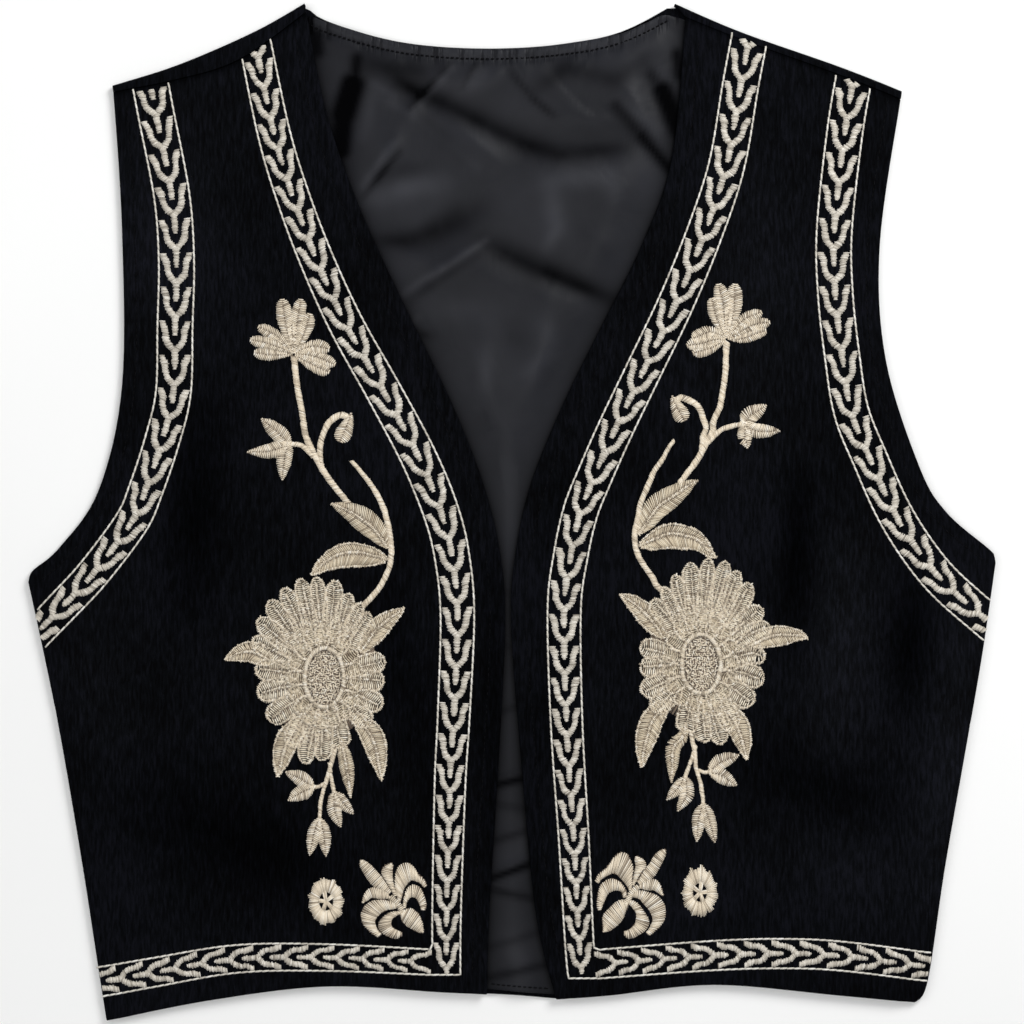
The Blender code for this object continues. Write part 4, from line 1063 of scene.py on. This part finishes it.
def buildBorder(name):
    side = "right" if name.startswith("right") else "left"
    kind = name[len(side):]
    plan = spacing[name]
    line = smoothLine(borders[name])
    length = lineLength(line)
    rows = []
    top = plan["first"]
    while top < length - fork["endRoom"][kind]:
        share = np.clip((top + fork["midway"]) / length, 0.0, 1.0)
        pitch, half = (float(np.interp(share, (0.0, 0.5, 1.0), plan[key])) for key in ("pitch", "half"))
        across, down = half / fork["half"], pitch / fork["pitch"]
        slim = min(1.0, (across + down) / 2.0)   # smaller forks have thinner strokes
        for part, hand in (("arm", -1.0), ("arm", 1.0), ("stem", 0.0)):
            stroke = forkStroke(line, top, fork[part], across * hand, down)
            if lineLength(stroke) > fork["leastStroke"]:
                rows.append(satinStroke(stroke, np.array(fork[f"{part}Widths"]) * slim,
                                        slant=-fork["slant"] * hand, bead=fork["bead"]))
        top += pitch
    rows = [onFabric(side, np.vstack(rows), plan["topIn"])]
    chain = stitchedPiece(f"{name}Forks", side, rows, threads["rayonThreadBorder"], raised=0.12)
    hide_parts(f"border_{side}_{kind.lower()}")
    return chain


def buildGuards(side):
    rows = []
    guards = {}
    toward = inward[side]
    for kind in ("Armhole", "Front", "Hem"):
        half = np.array(spacing[side + kind]["half"])
        line = smoothLine(borders[side + kind])
        guards[kind] = {hand: offsetLine(line, hand * half) for hand in (-toward, toward)}
    centreSide, outerSide = guards["Front"][toward], guards["Front"][-toward]
    lower, upper = guards["Hem"][toward], guards["Hem"][-toward]
    corner = np.array([[centreSide[-1, 0], lower[0, 1]]])
    outerSide = outerSide[outerSide[:, 1] > upper[0, 1]]
    centreSide = np.vstack([centreSide[centreSide[:, 1] > corner[0, 1] + 3.0], corner])
    lower = np.vstack([corner, lower])
    upper = np.vstack([outerSide[-1:], upper])
    for kind, guardLine in (("Armhole", guards["Armhole"][-1.0]), ("Armhole", guards["Armhole"][1.0]),
                            ("Front", centreSide), ("Front", outerSide), ("Hem", lower), ("Hem", upper)):
        rows.append(onFabric(side, guardStitch(guardLine), spacing[side + kind]["topIn"]))
    return stitchedPiece(f"{side}GuardLines", side, rows, threads["cottonThreadPale"], raised=0.1)


embroidery = [buildBorder(name) for name in borders]
embroidery += [buildGuards(side) for side in sides]
print("borders stitched")


# Sprays: drawn for the right front; the left front has its mirror, a little nearer the neck

mirror = {"raise": 6.6, "shift": -0.5, "lean": -0.017}


leftShifts = np.array([   # a place on the right front, and how far the left front's copy lies across and up
    (-104.7, 76.5, 0.0, 0.6), (-84.8, 70.6, 0.8, 2.4), (-87.6, 67.0, 0.8, 2.4), (-87.6, 78.0, 0.5, -1.5),
    (-121.8, 89.0, 0.0, 0.4), (-125.6, 82.8, 0.0, 1.8), (-123.8, 76.4, 0.0, 4.0),
    (-110.2, 102.2, -1.0, 0.7), (-101.2, 102.2, 0.0, 0.7), (-96.9, 95.2, 0.8, 0.8),
    (-100.8, 47.9, 1.0, 0.0), (-98.8, 36.1, -1.2, 0.6), (-94.2, 26.3, 0.0, 0.6), (-88.3, 16.4, 0.0, 0.0),
    (-91.4, 34.8, 2.6, 0.4), (-88.3, 42.2, 2.4, 1.6), (-82.6, 46.2, 1.0, 1.6), (-83.0, 35.0, 1.0, 3.5),
    (-106.6, 32.6, 5.0, 2.8), (-120.3, 44.8, 3.0, 0.0), (-127.2, 28.8, 2.5, 3.4), (-110.2, 15.2, 3.5, 8.7),
    (-77.2, 24.6, 1.6, 3.2), (-69.1, 15.1, 2.0, 1.0), (-62.8, 4.6, 2.4, 0.0), (-59.3, -7.0, 2.0, 0.0),
    (-57.9, -19.0, 1.2, 0.0), (-64.3, -37.2, 2.0, 0.6), (-71.8, -45.4, 0.0, 1.0), (-86.8, 4.1, 3.2, 4.5),
    (-71.2, -4.0, 0.8, 1.2), (-77.7, -19.4, 0.8, 2.4), (-87.3, -22.3, 1.6, 2.6), (-96.6, -30.2, 1.6, 1.4),
    (-94.0, -31.4, 0.0, 2.6), (-77.5, -39.2, 0.0, 2.2), (-68.6, -48.7, -1.5, 0.0),
    (-116.5, -42.6, -2.4, 1.5), (-121.8, -51.6, -2.6, -1.0), (-122.9, -75.0, -2.6, 0.0),
    (-121.8, -87.1, -2.4, 0.0), (-116.7, -99.8, -2.6, 1.2), (-106.4, -112.4, -1.4, 1.4),
    (-98.8, -120.6, -0.4, 2.6), (-91.6, -119.2, 0.0, 2.4), (-81.9, -113.0, 0.0, 0.5),
    (-68.4, -102.0, -2.0, 0.0), (-62.7, -93.4, -1.4, 0.0), (-61.5, -80.9, -1.0, 0.0),
    (-61.0, -71.3, 0.0, 0.0), (-89.9, -79.4, 0.0, 0.0), (-99.0, -79.0, 0.0, 0.0), (-81.0, -79.0, 0.0, 0.0),
    (-90.0, -65.0, 0.0, 0.0), (-90.0, -94.0, 0.0, 0.0), (-137.8, -70.8, 3.2, 3.6),
    (-114.0, -72.6, 0.0, 2.0), (-51.6, -46.0, 0.0, 0.0), (-112.3, -127.0, -1.4, 1.6),
    (-62.7, -128.4, -2.4, -0.6), (-66.8, -109.0, -1.8, 0.0), (-77.3, -137.2, -2.8, 0.8),
    (-79.4, -122.0, -4.0, 1.0), (-101.4, -128.2, -2.0, 2.0), (-107.6, -138.4, -1.6, 0.6),
    (-90.5, -133.7, -2.6, 0.0), (-92.3, -147.6, -2.6, 0.4), (-97.1, -164.9, -2.0, -0.4),
    (-89.2, -165.4, -3.0, 0.6), (-85.2, -134.0, -4.0, 0.8), (-82.0, -151.2, -4.6, 1.0),
    (-76.1, -144.8, -4.0, 0.0), (-89.2, -186.8, -1.7, -2.4), (-54.6, -188.4, 0.0, -1.0),
    (-42.5, -201.7, -1.9, -6.2), (-55.2, -204.7, -1.9, -6.5), (-64.3, -203.9, -1.4, -6.0),
    (-68.1, -201.4, -1.0, -5.0), (-41.0, -179.3, -3.5, -4.5), (-42.0, -191.4, -3.5, -6.5),
    (-57.6, -168.6, -0.5, -3.5), (-50.4, -168.2, 0.0, -1.5), (-72.6, -167.5, -1.5, -1.4),
    (-72.0, -187.2, -2.0, -3.0),
])


def onSide(side, line):
    # the left front was sewn by hand too, so its copy lies a little differently from the mirrored drawing
    line = np.asarray(line, float)
    if side == "right":
        return line
    gaps = ((line[:, None] - leftShifts[None, :, :2]) ** 2).sum(axis=2)
    near = 1.0 / (gaps + 4.0) ** 1.5
    shift = near @ leftShifts[:, 2:] / near.sum(axis=1, keepdims=True)
    across = -line[:, 0] + mirror["shift"] + mirror["lean"] * line[:, 1]
    return np.column_stack([across, line[:, 1] + mirror["raise"]]) + shift


stems = [   # route, widths
    ([(-104.7, 74.8), (-103.1, 61.0), (-100.8, 47.9), (-98.8, 36.1), (-94.2, 26.3), (-88.3, 16.4),
      (-78.6, 4.2)], [3.4, 3.2, 3.1, 3.3, 3.4, 3.2, 3.0]),
    ([(-95.0, 26.0), (-98.2, 29.6), (-101.8, 32.1), (-107.6, 32.8)], [2.4, 2.7, 2.6, 2.6]),
    ([(-91.2, 21.0), (-92.2, 27.5), (-91.4, 34.8), (-88.3, 42.2), (-82.6, 46.4), (-78.0, 45.0)],
     [2.6, 3.0, 3.1, 3.3, 3.5, 3.3]),
    ([(-77.2, 24.6), (-69.1, 15.1), (-62.8, 4.6), (-59.3, -7.0), (-57.9, -19.0), (-59.3, -27.6),
      (-64.3, -37.2), (-71.8, -45.4)], [2.0, 2.6, 2.9, 3.0, 3.1, 3.0, 3.0, 3.2]),
    ([(-84.4, -112.0), (-87.2, -122.4), (-90.5, -133.7), (-91.9, -139.9), (-92.3, -147.6)],
     [2.5, 2.3, 2.1, 2.1, 2.2]),
    ([(-90.2, -130.4), (-93.0, -131.8), (-96.6, -131.9)], [1.8, 2.0, 2.2]),
    ([(-87.6, -120.4), (-86.6, -127.9), (-85.2, -135.2)], [1.8, 2.0, 2.2]),
]
leaves = [   # route from base to tip, widths on its left and right, whether the rim and vein are raised
    ([(-59.6, -17.5), (-65.0, -9.8), (-71.2, -4.0), (-78.6, 0.6), (-86.8, 4.1)], (5.6, 6.0), False),
    ([(-59.5, -22.8), (-68.1, -20.4), (-77.7, -19.4), (-87.3, -22.3), (-96.6, -30.2)], (6.8, 4.4), True),
    ([(-72.9, -67.5), (-63.5, -55.0), (-51.6, -46.0)], (4.8, 4.8), True),
    ([(-114.0, -72.6), (-126.0, -66.8), (-137.8, -70.8)], (5.0, 4.4), True),
    ([(-98.6, -97.6), (-108.0, -111.0), (-112.3, -127.0)], (4.8, 5.6), True),
    ([(-76.3, -96.6), (-66.8, -109.0), (-62.7, -128.4)], (5.6, 4.8), True),
    ([(-82.2, -108.0), (-79.4, -122.0), (-77.3, -137.2)], (3.5, 3.5), False),
]
topPetals = [   # base to tip, widths on its left and right
    ([(-104.7, 76.0), (-108.2, 88.0), (-110.2, 102.2)], (3.8, 3.8)),
    ([(-104.5, 76.0), (-103.4, 88.0), (-101.2, 102.2)], (3.6, 3.4)),
    ([(-104.3, 76.0), (-99.8, 85.4), (-96.9, 95.2)], (3.3, 3.3)),
    ([(-104.6, 77.0), (-105.4, 84.0), (-105.8, 91.0)], (2.8, 2.8)),
    ([(-105.2, 76.6), (-113.0, 84.4), (-121.8, 89.0)], (3.0, 2.8)),
    ([(-105.2, 76.2), (-115.0, 80.2), (-125.6, 82.8)], (3.0, 2.9)),
    ([(-105.2, 75.8), (-114.4, 75.2), (-123.8, 76.4)], (2.8, 3.0)),
    ([(-104.2, 76.4), (-96.0, 79.6), (-87.6, 78.0)], (3.3, 3.6)),
    ([(-104.2, 75.8), (-95.4, 74.8), (-84.8, 70.6)], (3.1, 3.1)),
    ([(-104.2, 75.2), (-96.4, 71.0), (-87.6, 67.0)], (3.1, 3.3)),
]
sidePetals = [
    ([(-106.6, 31.6), (-111.8, 37.6), (-120.3, 44.8)], (4.0, 4.2)),
    ([(-106.6, 32.6), (-116.2, 29.2), (-127.2, 28.8)], (3.5, 3.7)),
    ([(-107.4, 33.8), (-109.2, 25.2), (-110.2, 15.2)], (3.7, 3.7)),
]
curlHead = ([(-77.0, 47.6), (-79.0, 42.0), (-82.6, 33.6)], (3.9, 4.1))
budPetals = [
    ([(-95.2, -132.0), (-101.4, -128.2), (-108.8, -124.8)], (3.4, 4.0)),
    ([(-95.2, -132.2), (-101.0, -134.4), (-107.6, -138.4)], (4.0, 3.4)),
    ([(-92.5, -147.0), (-95.0, -154.4), (-97.1, -164.9)], (3.4, 3.2)),
    ([(-92.1, -147.0), (-90.2, -154.8), (-89.2, -165.4)], (3.2, 3.4)),
    ([(-85.2, -134.0), (-85.2, -142.6), (-82.0, -151.2)], (3.6, 3.4)),
    ([(-85.0, -134.4), (-81.4, -139.0), (-76.1, -144.8)], (3.0, 3.0)),
]
bloom = {
    "centre": (-89.9, -79.4),
    "oval": (9.4, 14.2), "rimWidth": 2.1,
    "shortCount": 17, "shortReach": (18.0, 24.6), "shortHalf": 3.7,
    "longBase": (12.0, 17.0), "longHalf": 3.4, "longMost": 5.6,
    "ground": (0.95, 0.5, 0.84),   # two rings below: from this share of the oval to these of the reach
    "groundCounts": (96, 150),
    "longTips": [(28.9, 8.1), (28.4, -1.5), (27.2, -14.0), (21.5, -22.6), (8.0, -33.6), (-1.7, -39.8),
                 (-8.9, -41.2), (-16.5, -33.0), (-26.8, -20.4), (-31.9, -7.7), (-33.0, 4.4), (-34.3, 18.2),
                 (-31.9, 27.8), (-26.6, 36.8), (-19.7, 42.6), (-11.5, 47.4), (-4.1, 48.0), (5.0, 46.4),
                 (12.4, 40.2), (17.6, 35.6), (21.3, 30.7)],
    "seedPitch": 0.95, "seedReach": 0.7,
}
palmette = [   # the two edges of each petal, from its base to its tip
    ([(-59.5, -183.8), (-64.3, -181.2), (-68.1, -177.8), (-71.0, -173.5), (-72.9, -169.4), (-72.6, -167.5)],
     [(-58.0, -181.9), (-60.9, -177.4), (-64.3, -173.0), (-68.1, -168.9), (-71.4, -167.0), (-72.4, -167.3)]),
    ([(-56.4, -184.4), (-60.2, -177.4), (-62.7, -173.6), (-61.4, -170.2), (-58.2, -168.6)],
     [(-55.4, -184.1), (-56.8, -178.3), (-57.3, -173.0), (-57.1, -170.0), (-57.6, -168.6)]),
    ([(-58.5, -184.6), (-60.8, -182.0), (-67.0, -180.0), (-70.5, -182.6), (-72.0, -187.2)],
     [(-58.5, -185.4), (-63.3, -185.5), (-67.2, -185.2), (-69.6, -186.5), (-71.5, -187.9)]),
    ([(-54.6, -187.0), (-55.9, -180.7), (-56.1, -174.5), (-54.2, -169.7), (-50.4, -168.2), (-47.0, -170.6),
      (-45.1, -173.7), (-42.2, -176.0), (-41.0, -179.3)],
     [(-53.6, -187.0), (-52.8, -184.0), (-51.3, -179.8), (-48.6, -176.9), (-45.6, -177.2), (-43.4, -178.6),
      (-42.4, -180.2)]),
    ([(-52.5, -190.0), (-51.8, -185.0), (-50.4, -180.9), (-47.5, -178.8), (-44.1, -180.3), (-42.0, -184.1),
      (-41.1, -188.4), (-42.0, -191.4)],
     [(-51.0, -190.0), (-50.4, -187.0), (-48.6, -184.8), (-46.0, -185.3), (-44.6, -187.9), (-43.6, -190.9)]),
    ([(-53.2, -192.3), (-51.3, -190.8), (-48.0, -190.3), (-44.6, -193.2), (-43.0, -197.5), (-42.5, -201.7)],
     [(-53.2, -193.1), (-52.3, -196.6), (-49.4, -199.4), (-46.0, -201.4), (-42.9, -201.9)]),
    ([(-53.2, -191.4), (-58.0, -192.0), (-61.9, -194.2), (-64.3, -198.0), (-62.8, -201.4), (-59.0, -203.9),
      (-55.2, -204.7), (-52.8, -203.2)],
     [(-53.2, -192.6), (-55.6, -193.9), (-57.8, -195.6), (-57.8, -198.5), (-55.6, -200.4), (-53.0, -201.6)]),
    ([(-55.2, -187.9), (-59.5, -186.5), (-65.2, -186.2), (-70.0, -188.4), (-72.4, -192.7), (-71.5, -197.5),
      (-68.1, -201.4), (-64.3, -203.9)],
     [(-55.6, -190.3), (-60.0, -190.9), (-63.8, -193.2), (-65.7, -196.6), (-64.8, -199.9), (-62.6, -202.4)]),
]
palmetteJoint = [(-58.6, -184.6), (-54.6, -188.4), (-52.2, -192.6)]
rosette = {"centre": (-89.2, -186.8), "rim": (8.4, 11.0), "inner": 0.4, "scallops": 11, "scallop": 0.045,
           "spokes": 5, "turn": 0.55, "spokeWidth": 1.5, "stitches": 74}


def ovalPoint(reach, angle):
    return np.array([reach[0] * math.cos(angle), reach[1] * math.sin(angle)])


def handed(side, halves):
    return halves if side == "right" else halves[::-1]   # a mirrored route has its sides changed over


def stitch(side, start, end, width, lift):
    # one stitch between two places of the drawing
    ends = onSide(side, np.array([start, end]))
    return [*ends[0], *ends[1], width, lift]


sprayPieces = {   # thread, height above the cloth, and the solids that the piece stands for
    "Underlay": ("Underlay", 0.05, []),
    "Stems": ("Cream", 0.16, ["stem_upper", "stem_side", "stem_curl", "stem_free", "stem_buds"]),
    "Leaves": ("Shaded", 0.16, ["leaf_upper", "leaf_lower", "leaf_flower_right", "leaf_flower_left",
                                "leaf_flower_low_left", "leaf_flower_low_right", "leaf_flower_thin"]),
    "LeafVeins": ("Cream", 0.46, []),
    "TopFlower": ("Cream", 0.16, ["flower_top"]),
    "SideFlower": ("Cream", 0.16, ["flower_side"]),
    "Buds": ("Cream", 0.16, ["bud_left", "bud_bottom", "bud_right"]),
    "NeedleHoles": ("Underlay", 0.12, []),
    "BloomUnderlay": ("Underlay", 0.05, []),
    "BloomLongPetals": ("Fill", 0.16, ["bloom_long_petals"]),
    "BloomLongEdges": ("Cream", 0.55, []),
    "BloomLongHoles": ("Underlay", 0.42, []),
    "BloomShortHoles": ("Underlay", 1.02, []),
    "BloomShortPetals": ("Shaded", 0.75, ["bloom_short_petals"]),
    "BloomShortEdges": ("Cream", 1.15, []),
    "BloomRim": ("Cream", 1.6, []),
    "BloomRimHoles": ("Underlay", 1.35, []),
    "BloomSeedGround": ("Underlay", 0.5, []),
    "BloomSeeds": ("Cream", 0.85, ["bloom_centre"]),
    "Palmette": ("Cream", 0.16, ["palmette"]),
    "Rosette": ("Cream", 0.12, ["rosette"]),
}


def finish(side, name, rows):
    thread, raised, nodes = sprayPieces[name]
    piece = stitchedPiece(f"{side}{name}", side, rows, threads[f"rayonThread{thread}"], raised=raised)
    if nodes:
        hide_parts(*[f"{node}_{side}" for node in nodes])
    embroidery.append(piece)


def buildSpray(side):
    def turned(points):
        return onSide(side, smoothLine(points))

    curl, curlHalves = turned(curlHead[0]), handed(side, curlHead[1])
    petals = [(curlHead, "round")] + [((route, halves), "leaf") for route, halves, raisedRim in leaves]
    petals += [(petal, "round") for petal in topPetals] + [(petal, "bud") for petal in sidePetals + budPetals]
    laid = [underlay(turned(route), handed(side, halves), kind) for (route, halves), kind in petals]
    laid += [bandFill(turned(edgeA), turned(edgeB), **groundStitch) for edgeA, edgeB in palmette]
    finish(side, "Underlay", laid)
    ropes = [satinStroke(turned(route), widths, 0.5, 0.5, 0.62, 0.4, 0.1) for route, widths in stems]
    finish(side, "Stems", ropes + [petalFill(curl, curlHalves)])
    fills, edges = [], []
    for route, halves, raisedRim in leaves:
        line, halves = turned(route), handed(side, halves)
        fills.append(petalFill(line, halves, "leaf", lean=25.0, strand=0.7, split=0.2))
        if raisedRim:
            edges.append(rope(petalEdge(line, halves, "leaf")))
        edges.append(rope(line, 1.3))
    finish(side, "Leaves", fills)
    finish(side, "LeafVeins", edges)
    holes = [needleHoles(curl, lift=0.6)]
    for name, petals, kind in (("TopFlower", topPetals, "round"), ("SideFlower", sidePetals, "bud"),
                               ("Buds", budPetals, "bud")):
        over = [0.16 * (step % 3) for step in range(len(petals))]   # petals lie over one another in threes
        finish(side, name, [petalFill(turned(route), handed(side, halves), kind, lift=0.28 + rise)
                            for rise, (route, halves) in zip(over, petals)])
        holes += [needleHoles(turned(route)[2:-1], lift=0.62 + rise)
                  for rise, (route, halves) in zip(over, petals)]
    holes += [needleHoles(turned(route)[2:-2], 1.0) for route, halves, raisedRim in leaves]
    finish(side, "NeedleHoles", holes)
    for build in (layBloomGround, layLongPetals, layShortPetals, layBloomCentre):
        build(side, np.array(bloom["centre"]))
    bands = [bandFill(turned(edgeA), turned(edgeB)) for edgeA, edgeB in palmette]
    joint = satinStroke(turned(palmetteJoint), [2.4, 2.8, 2.4], pitch=0.84, strand=0.8)
    finish(side, "Palmette", bands + [joint])
    finish(side, "Rosette", rosetteRows(side))


def bloomReach(angle):
    # how far the long petals reach at an angle round the bloom
    tips = sorted((math.atan2(y, x), math.hypot(x, y)) for x, y in bloom["longTips"])
    return np.interp(angle, [tip[0] for tip in tips], [tip[1] for tip in tips], period=math.tau)


def layBloomGround(side, centre):
    rim, middle, end = bloom["ground"]
    laid = []
    for ring, count in enumerate(bloom["groundCounts"]):
        for step in range(count):
            angle = (step + rng.uniform(-0.2, 0.2)) * math.tau / count
            reach = np.array([math.cos(angle), math.sin(angle)]) * bloomReach(angle)
            inner = reach * middle if ring else ovalPoint(bloom["oval"], angle) * rim
            laid.append(stitch(side, centre + inner, centre + reach * (end if ring else middle), 1.25, 0.1))
    finish(side, "BloomUnderlay", [np.array(laid)])


def layLongPetals(side, centre):
    base, tips = bloom["longBase"], bloom["longTips"]
    fills, edges, holes = [], [], []
    for step, tip in enumerate(tips):
        angle = math.atan2(tip[1] / base[1], tip[0] / base[0])
        line = onSide(side, np.linspace(centre + ovalPoint(base, angle), centre + tip, 12))
        halves = handed(side, [min(bloom["longMost"], max(bloom["longHalf"], math.dist(tip, tips[place]) / 2))
                               for place in (step - 1, (step + 1) % len(tips))])
        over = 0.22 * (step % 2)   # each second petal lies over its neighbours
        fills.append(petalFill(line, halves, "strap", 0.95, 12.0, 0.7, 0.28 + over, 0.1))
        edges.append(rope(petalEdge(line, halves, "strap", 0.6), 1.2, 0.34 + over))
        edges.append(rope(line[:-1], lift=0.34 + over))
        holes.append(needleHoles(line[:-1], 1.15, 1.8, 0.3 + over))
        holes.append(needleHoles(petalEdge(line, halves, "strap", 1.7), 0.0, 2.1, 0.3 + over))
    for name, rows in (("Petals", fills), ("Edges", edges), ("Holes", holes)):
        finish(side, f"BloomLong{name}", rows)


def layShortPetals(side, centre):
    halves = (bloom["shortHalf"], bloom["shortHalf"])
    fills, edges, holes = [], [], []
    for step in range(bloom["shortCount"]):
        angle = (step + 0.5) * math.tau / bloom["shortCount"]
        base, tip = ovalPoint(bloom["oval"], angle) * 0.98, ovalPoint(bloom["shortReach"], angle)
        line = onSide(side, np.linspace(centre + base, centre + tip, 8))
        fills.append(petalFill(line, halves, "strap", lean=8.0, pitch=1.0, strand=0.66))
        edges.append(rope(petalEdge(line, halves, "strap", 0.5), 1.15))
        holes.append(needleHoles(petalEdge(line, halves, "strap", 1.5), pitch=1.9, lift=0.3))
    for name, rows in (("Holes", holes), ("Petals", fills), ("Edges", edges)):
        finish(side, f"BloomShort{name}", rows)


def layBloomCentre(side, centre):
    across, up = bloom["oval"]
    rim = onSide(side, [centre + ovalPoint(bloom["oval"], turn) for turn in np.linspace(0.0, math.tau, 49)])
    finish(side, "BloomRim", [satinStroke(rim, [bloom["rimWidth"]] * 2, pitch=0.84, slant=0.4, strand=0.84)])
    finish(side, "BloomRimHoles", [needleHoles(rim, 1.35, 1.9, 0.3)])
    seeds, floor = [], []
    pitch = bloom["seedPitch"]
    for y in np.arange(-up + 1.0, up - 0.8, pitch):
        halfRow = (across - 0.8) * math.sqrt(max(0.0, 1.0 - (y / (up - 0.4)) ** 2))
        floor.append(stitch(side, centre + (-halfRow, y), centre + (halfRow, y), 1.15, 0.1))
        for x in np.arange(-halfRow + 0.4, halfRow, pitch * 1.15):
            angle = rng.uniform(0.0, math.pi)
            reach = np.array([math.cos(angle), math.sin(angle)]) * bloom["seedReach"]
            spot = centre + (x, y) + rng.normal(0, 0.2, 2)
            seeds.append(stitch(side, spot - reach, spot + reach, 0.62, 0.3))
    finish(side, "BloomSeedGround", [np.array(floor)])
    finish(side, "BloomSeeds", [np.array(seeds)])


def rosetteRows(side):
    centre, inner = np.array(rosette["centre"]), rosette["inner"]
    rows = []
    for step in range(rosette["stitches"]):
        angle = step * math.tau / rosette["stitches"]
        scallop = 1.0 + rosette["scallop"] * math.cos(angle * rosette["scallops"]) + rng.normal(0, 0.03)
        reach = ovalPoint(rosette["rim"], angle)
        start = centre + reach * (inner + 0.06 * (step % 2))
        rows.append(stitch(side, start, centre + reach * scallop, 0.84, 0.4))
    for step in range(rosette["spokes"]):
        angle = step * math.tau / rosette["spokes"] + rosette["turn"]
        outer = centre + ovalPoint(rosette["rim"], angle) * (inner + 0.08)
        for shift in np.linspace(-0.5, 0.5, 3) * rosette["spokeWidth"]:
            sideways = np.array([-math.sin(angle), math.cos(angle)]) * shift
            rows.append(stitch(side, centre + sideways * 0.6, outer + sideways, 0.75, 0.3))
    return [np.array(rows)]


for side in sides:
    buildSpray(side)
print("sprays stitched")


# Sewing threads in the cloth's own colour

topstitch = {"width": 0.42, "dash": 2.3, "gap": 0.7, "lift": 0.12, "thickness": 0.35}
blackThread = threads["polyesterThreadBlack"]
liningStitches = {"neck": (0.75, 1.5, 0.9, 0.15), "hem": (0.6, 1.6, 0.9, 0.15),   # width, dash, gap, lift
                  "hemLine": [(-10.0, -231.2), (3.0, -232.0), (18.0, -233.4)]}


def buildTopstitch(side):
    insets = {"frontEdge": sewing["edgeStitchIn"], "armhole": -sewing["armholeStitchIn"]}
    rows = [runningStitch(offsetLine(lines[name][side], inset * inward[side])[2:-2],
                          *(topstitch[key] for key in ("width", "dash", "gap", "lift")))
            for name, inset in insets.items()]
    return stitchedPiece(f"{side}Topstitch", side, rows, blackThread, 0.05, topstitch["thickness"])


def buildLiningStitch():
    neck = offsetLine(neckLine, -liningShape["neckStitchIn"])[4:-3]
    hem = np.array(liningStitches["hemLine"]) + (0.0, liningShape["hemStitchUp"])
    rows = [runningStitch(line, *liningStitches[name]) for name, line in (("neck", neck), ("hem", hem))]
    piece = stitchedPiece("liningStitch", None, rows, blackThread, 0.5, topstitch["thickness"])
    return piece


sewn = [buildTopstitch(side) for side in sides] + [buildLiningStitch()]
print("seams sewn")


# Everything rides on the one body

for piece in [*fronts.values(), back, lining, *embroidery, *sewn]:
    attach(piece, "root")


# Floor, light and camera

floorBoard = {"half": 4.0, "below": 0.0003, "tones": [(0.3, "#f6f6f5"), (0.7, "#fbfbfa")]}


def buildFloor():
    bm = bmesh.new()
    bmesh.ops.create_grid(bm, x_segments=1, y_segments=1, size=floorBoard["half"])
    bmesh.ops.translate(bm, verts=bm.verts, vec=(0.0, 0.0, -floorBoard["below"]))
    mesh = bpy.data.meshes.new("paleFloor")
    bm.to_mesh(mesh)
    bm.free()
    material, tree, shader, place = newMaterial("mattPaintedBoard", {
        "Roughness": 0.9, "Specular IOR Level": 0.1})
    shade = colourRamp(tree, addNoise(tree, place, 3.0, 2.0), floorBoard["tones"])
    tree.links.new(shade, shader.inputs["Base Color"])
    floor = newPiece("paleFloor", mesh, material)


lamps = [   # name, place, size, watts
    ("windowSoftbox", (0.75, 0.85, 0.95), 0.7, 15.0),
    ("fillSoftbox", (-1.2, 0.2, 1.3), 1.2, 7.0),
    ("topSoftbox", (0.0, -0.5, 2.4), 1.6, 16.0),
]


def buildLight():
    for name, place, size, watts in lamps:
        lamp = bpy.data.lights.new(name, "AREA")
        lamp.shape = "SQUARE"
        lamp.size = size
        lamp.energy = watts
        holder = bpy.data.objects.new(name, lamp)
        holder.location = place
        x, y, z = place
        holder.rotation_euler = (math.atan2(math.hypot(x, y), z), 0.0, math.atan2(x, -y))   # at the vest
        bpy.context.scene.collection.objects.link(holder)
    world = bpy.data.worlds.new("studioAir")
    world.use_nodes = True
    background = world.node_tree.nodes["Background"]
    background.inputs["Color"].default_value = linear(air["tone"])
    background.inputs["Strength"].default_value = air["strength"]
    bpy.context.scene.world = world
    bpy.context.scene.view_settings.view_transform = "Standard"


air = {"tone": "#f4f5f7", "strength": 0.3}
view = {"frameWidth": 0.4915, "clothHeight": 0.004, "lens": 100.0, "sensor": 36.0}


def buildCamera():
    lens = bpy.data.cameras.new("overheadCamera")
    lens.lens = view["lens"]
    lens.sensor_width = view["sensor"]
    lens.clip_end = 20.0
    camera = bpy.data.objects.new("overheadCamera", lens)
    camera.location = (0.0, 0.0, view["frameWidth"] * view["lens"] / view["sensor"] + view["clothHeight"])
    bpy.context.scene.collection.objects.link(camera)
    bpy.context.scene.camera = camera


buildFloor()
buildLight()
buildCamera()
print("stage set")
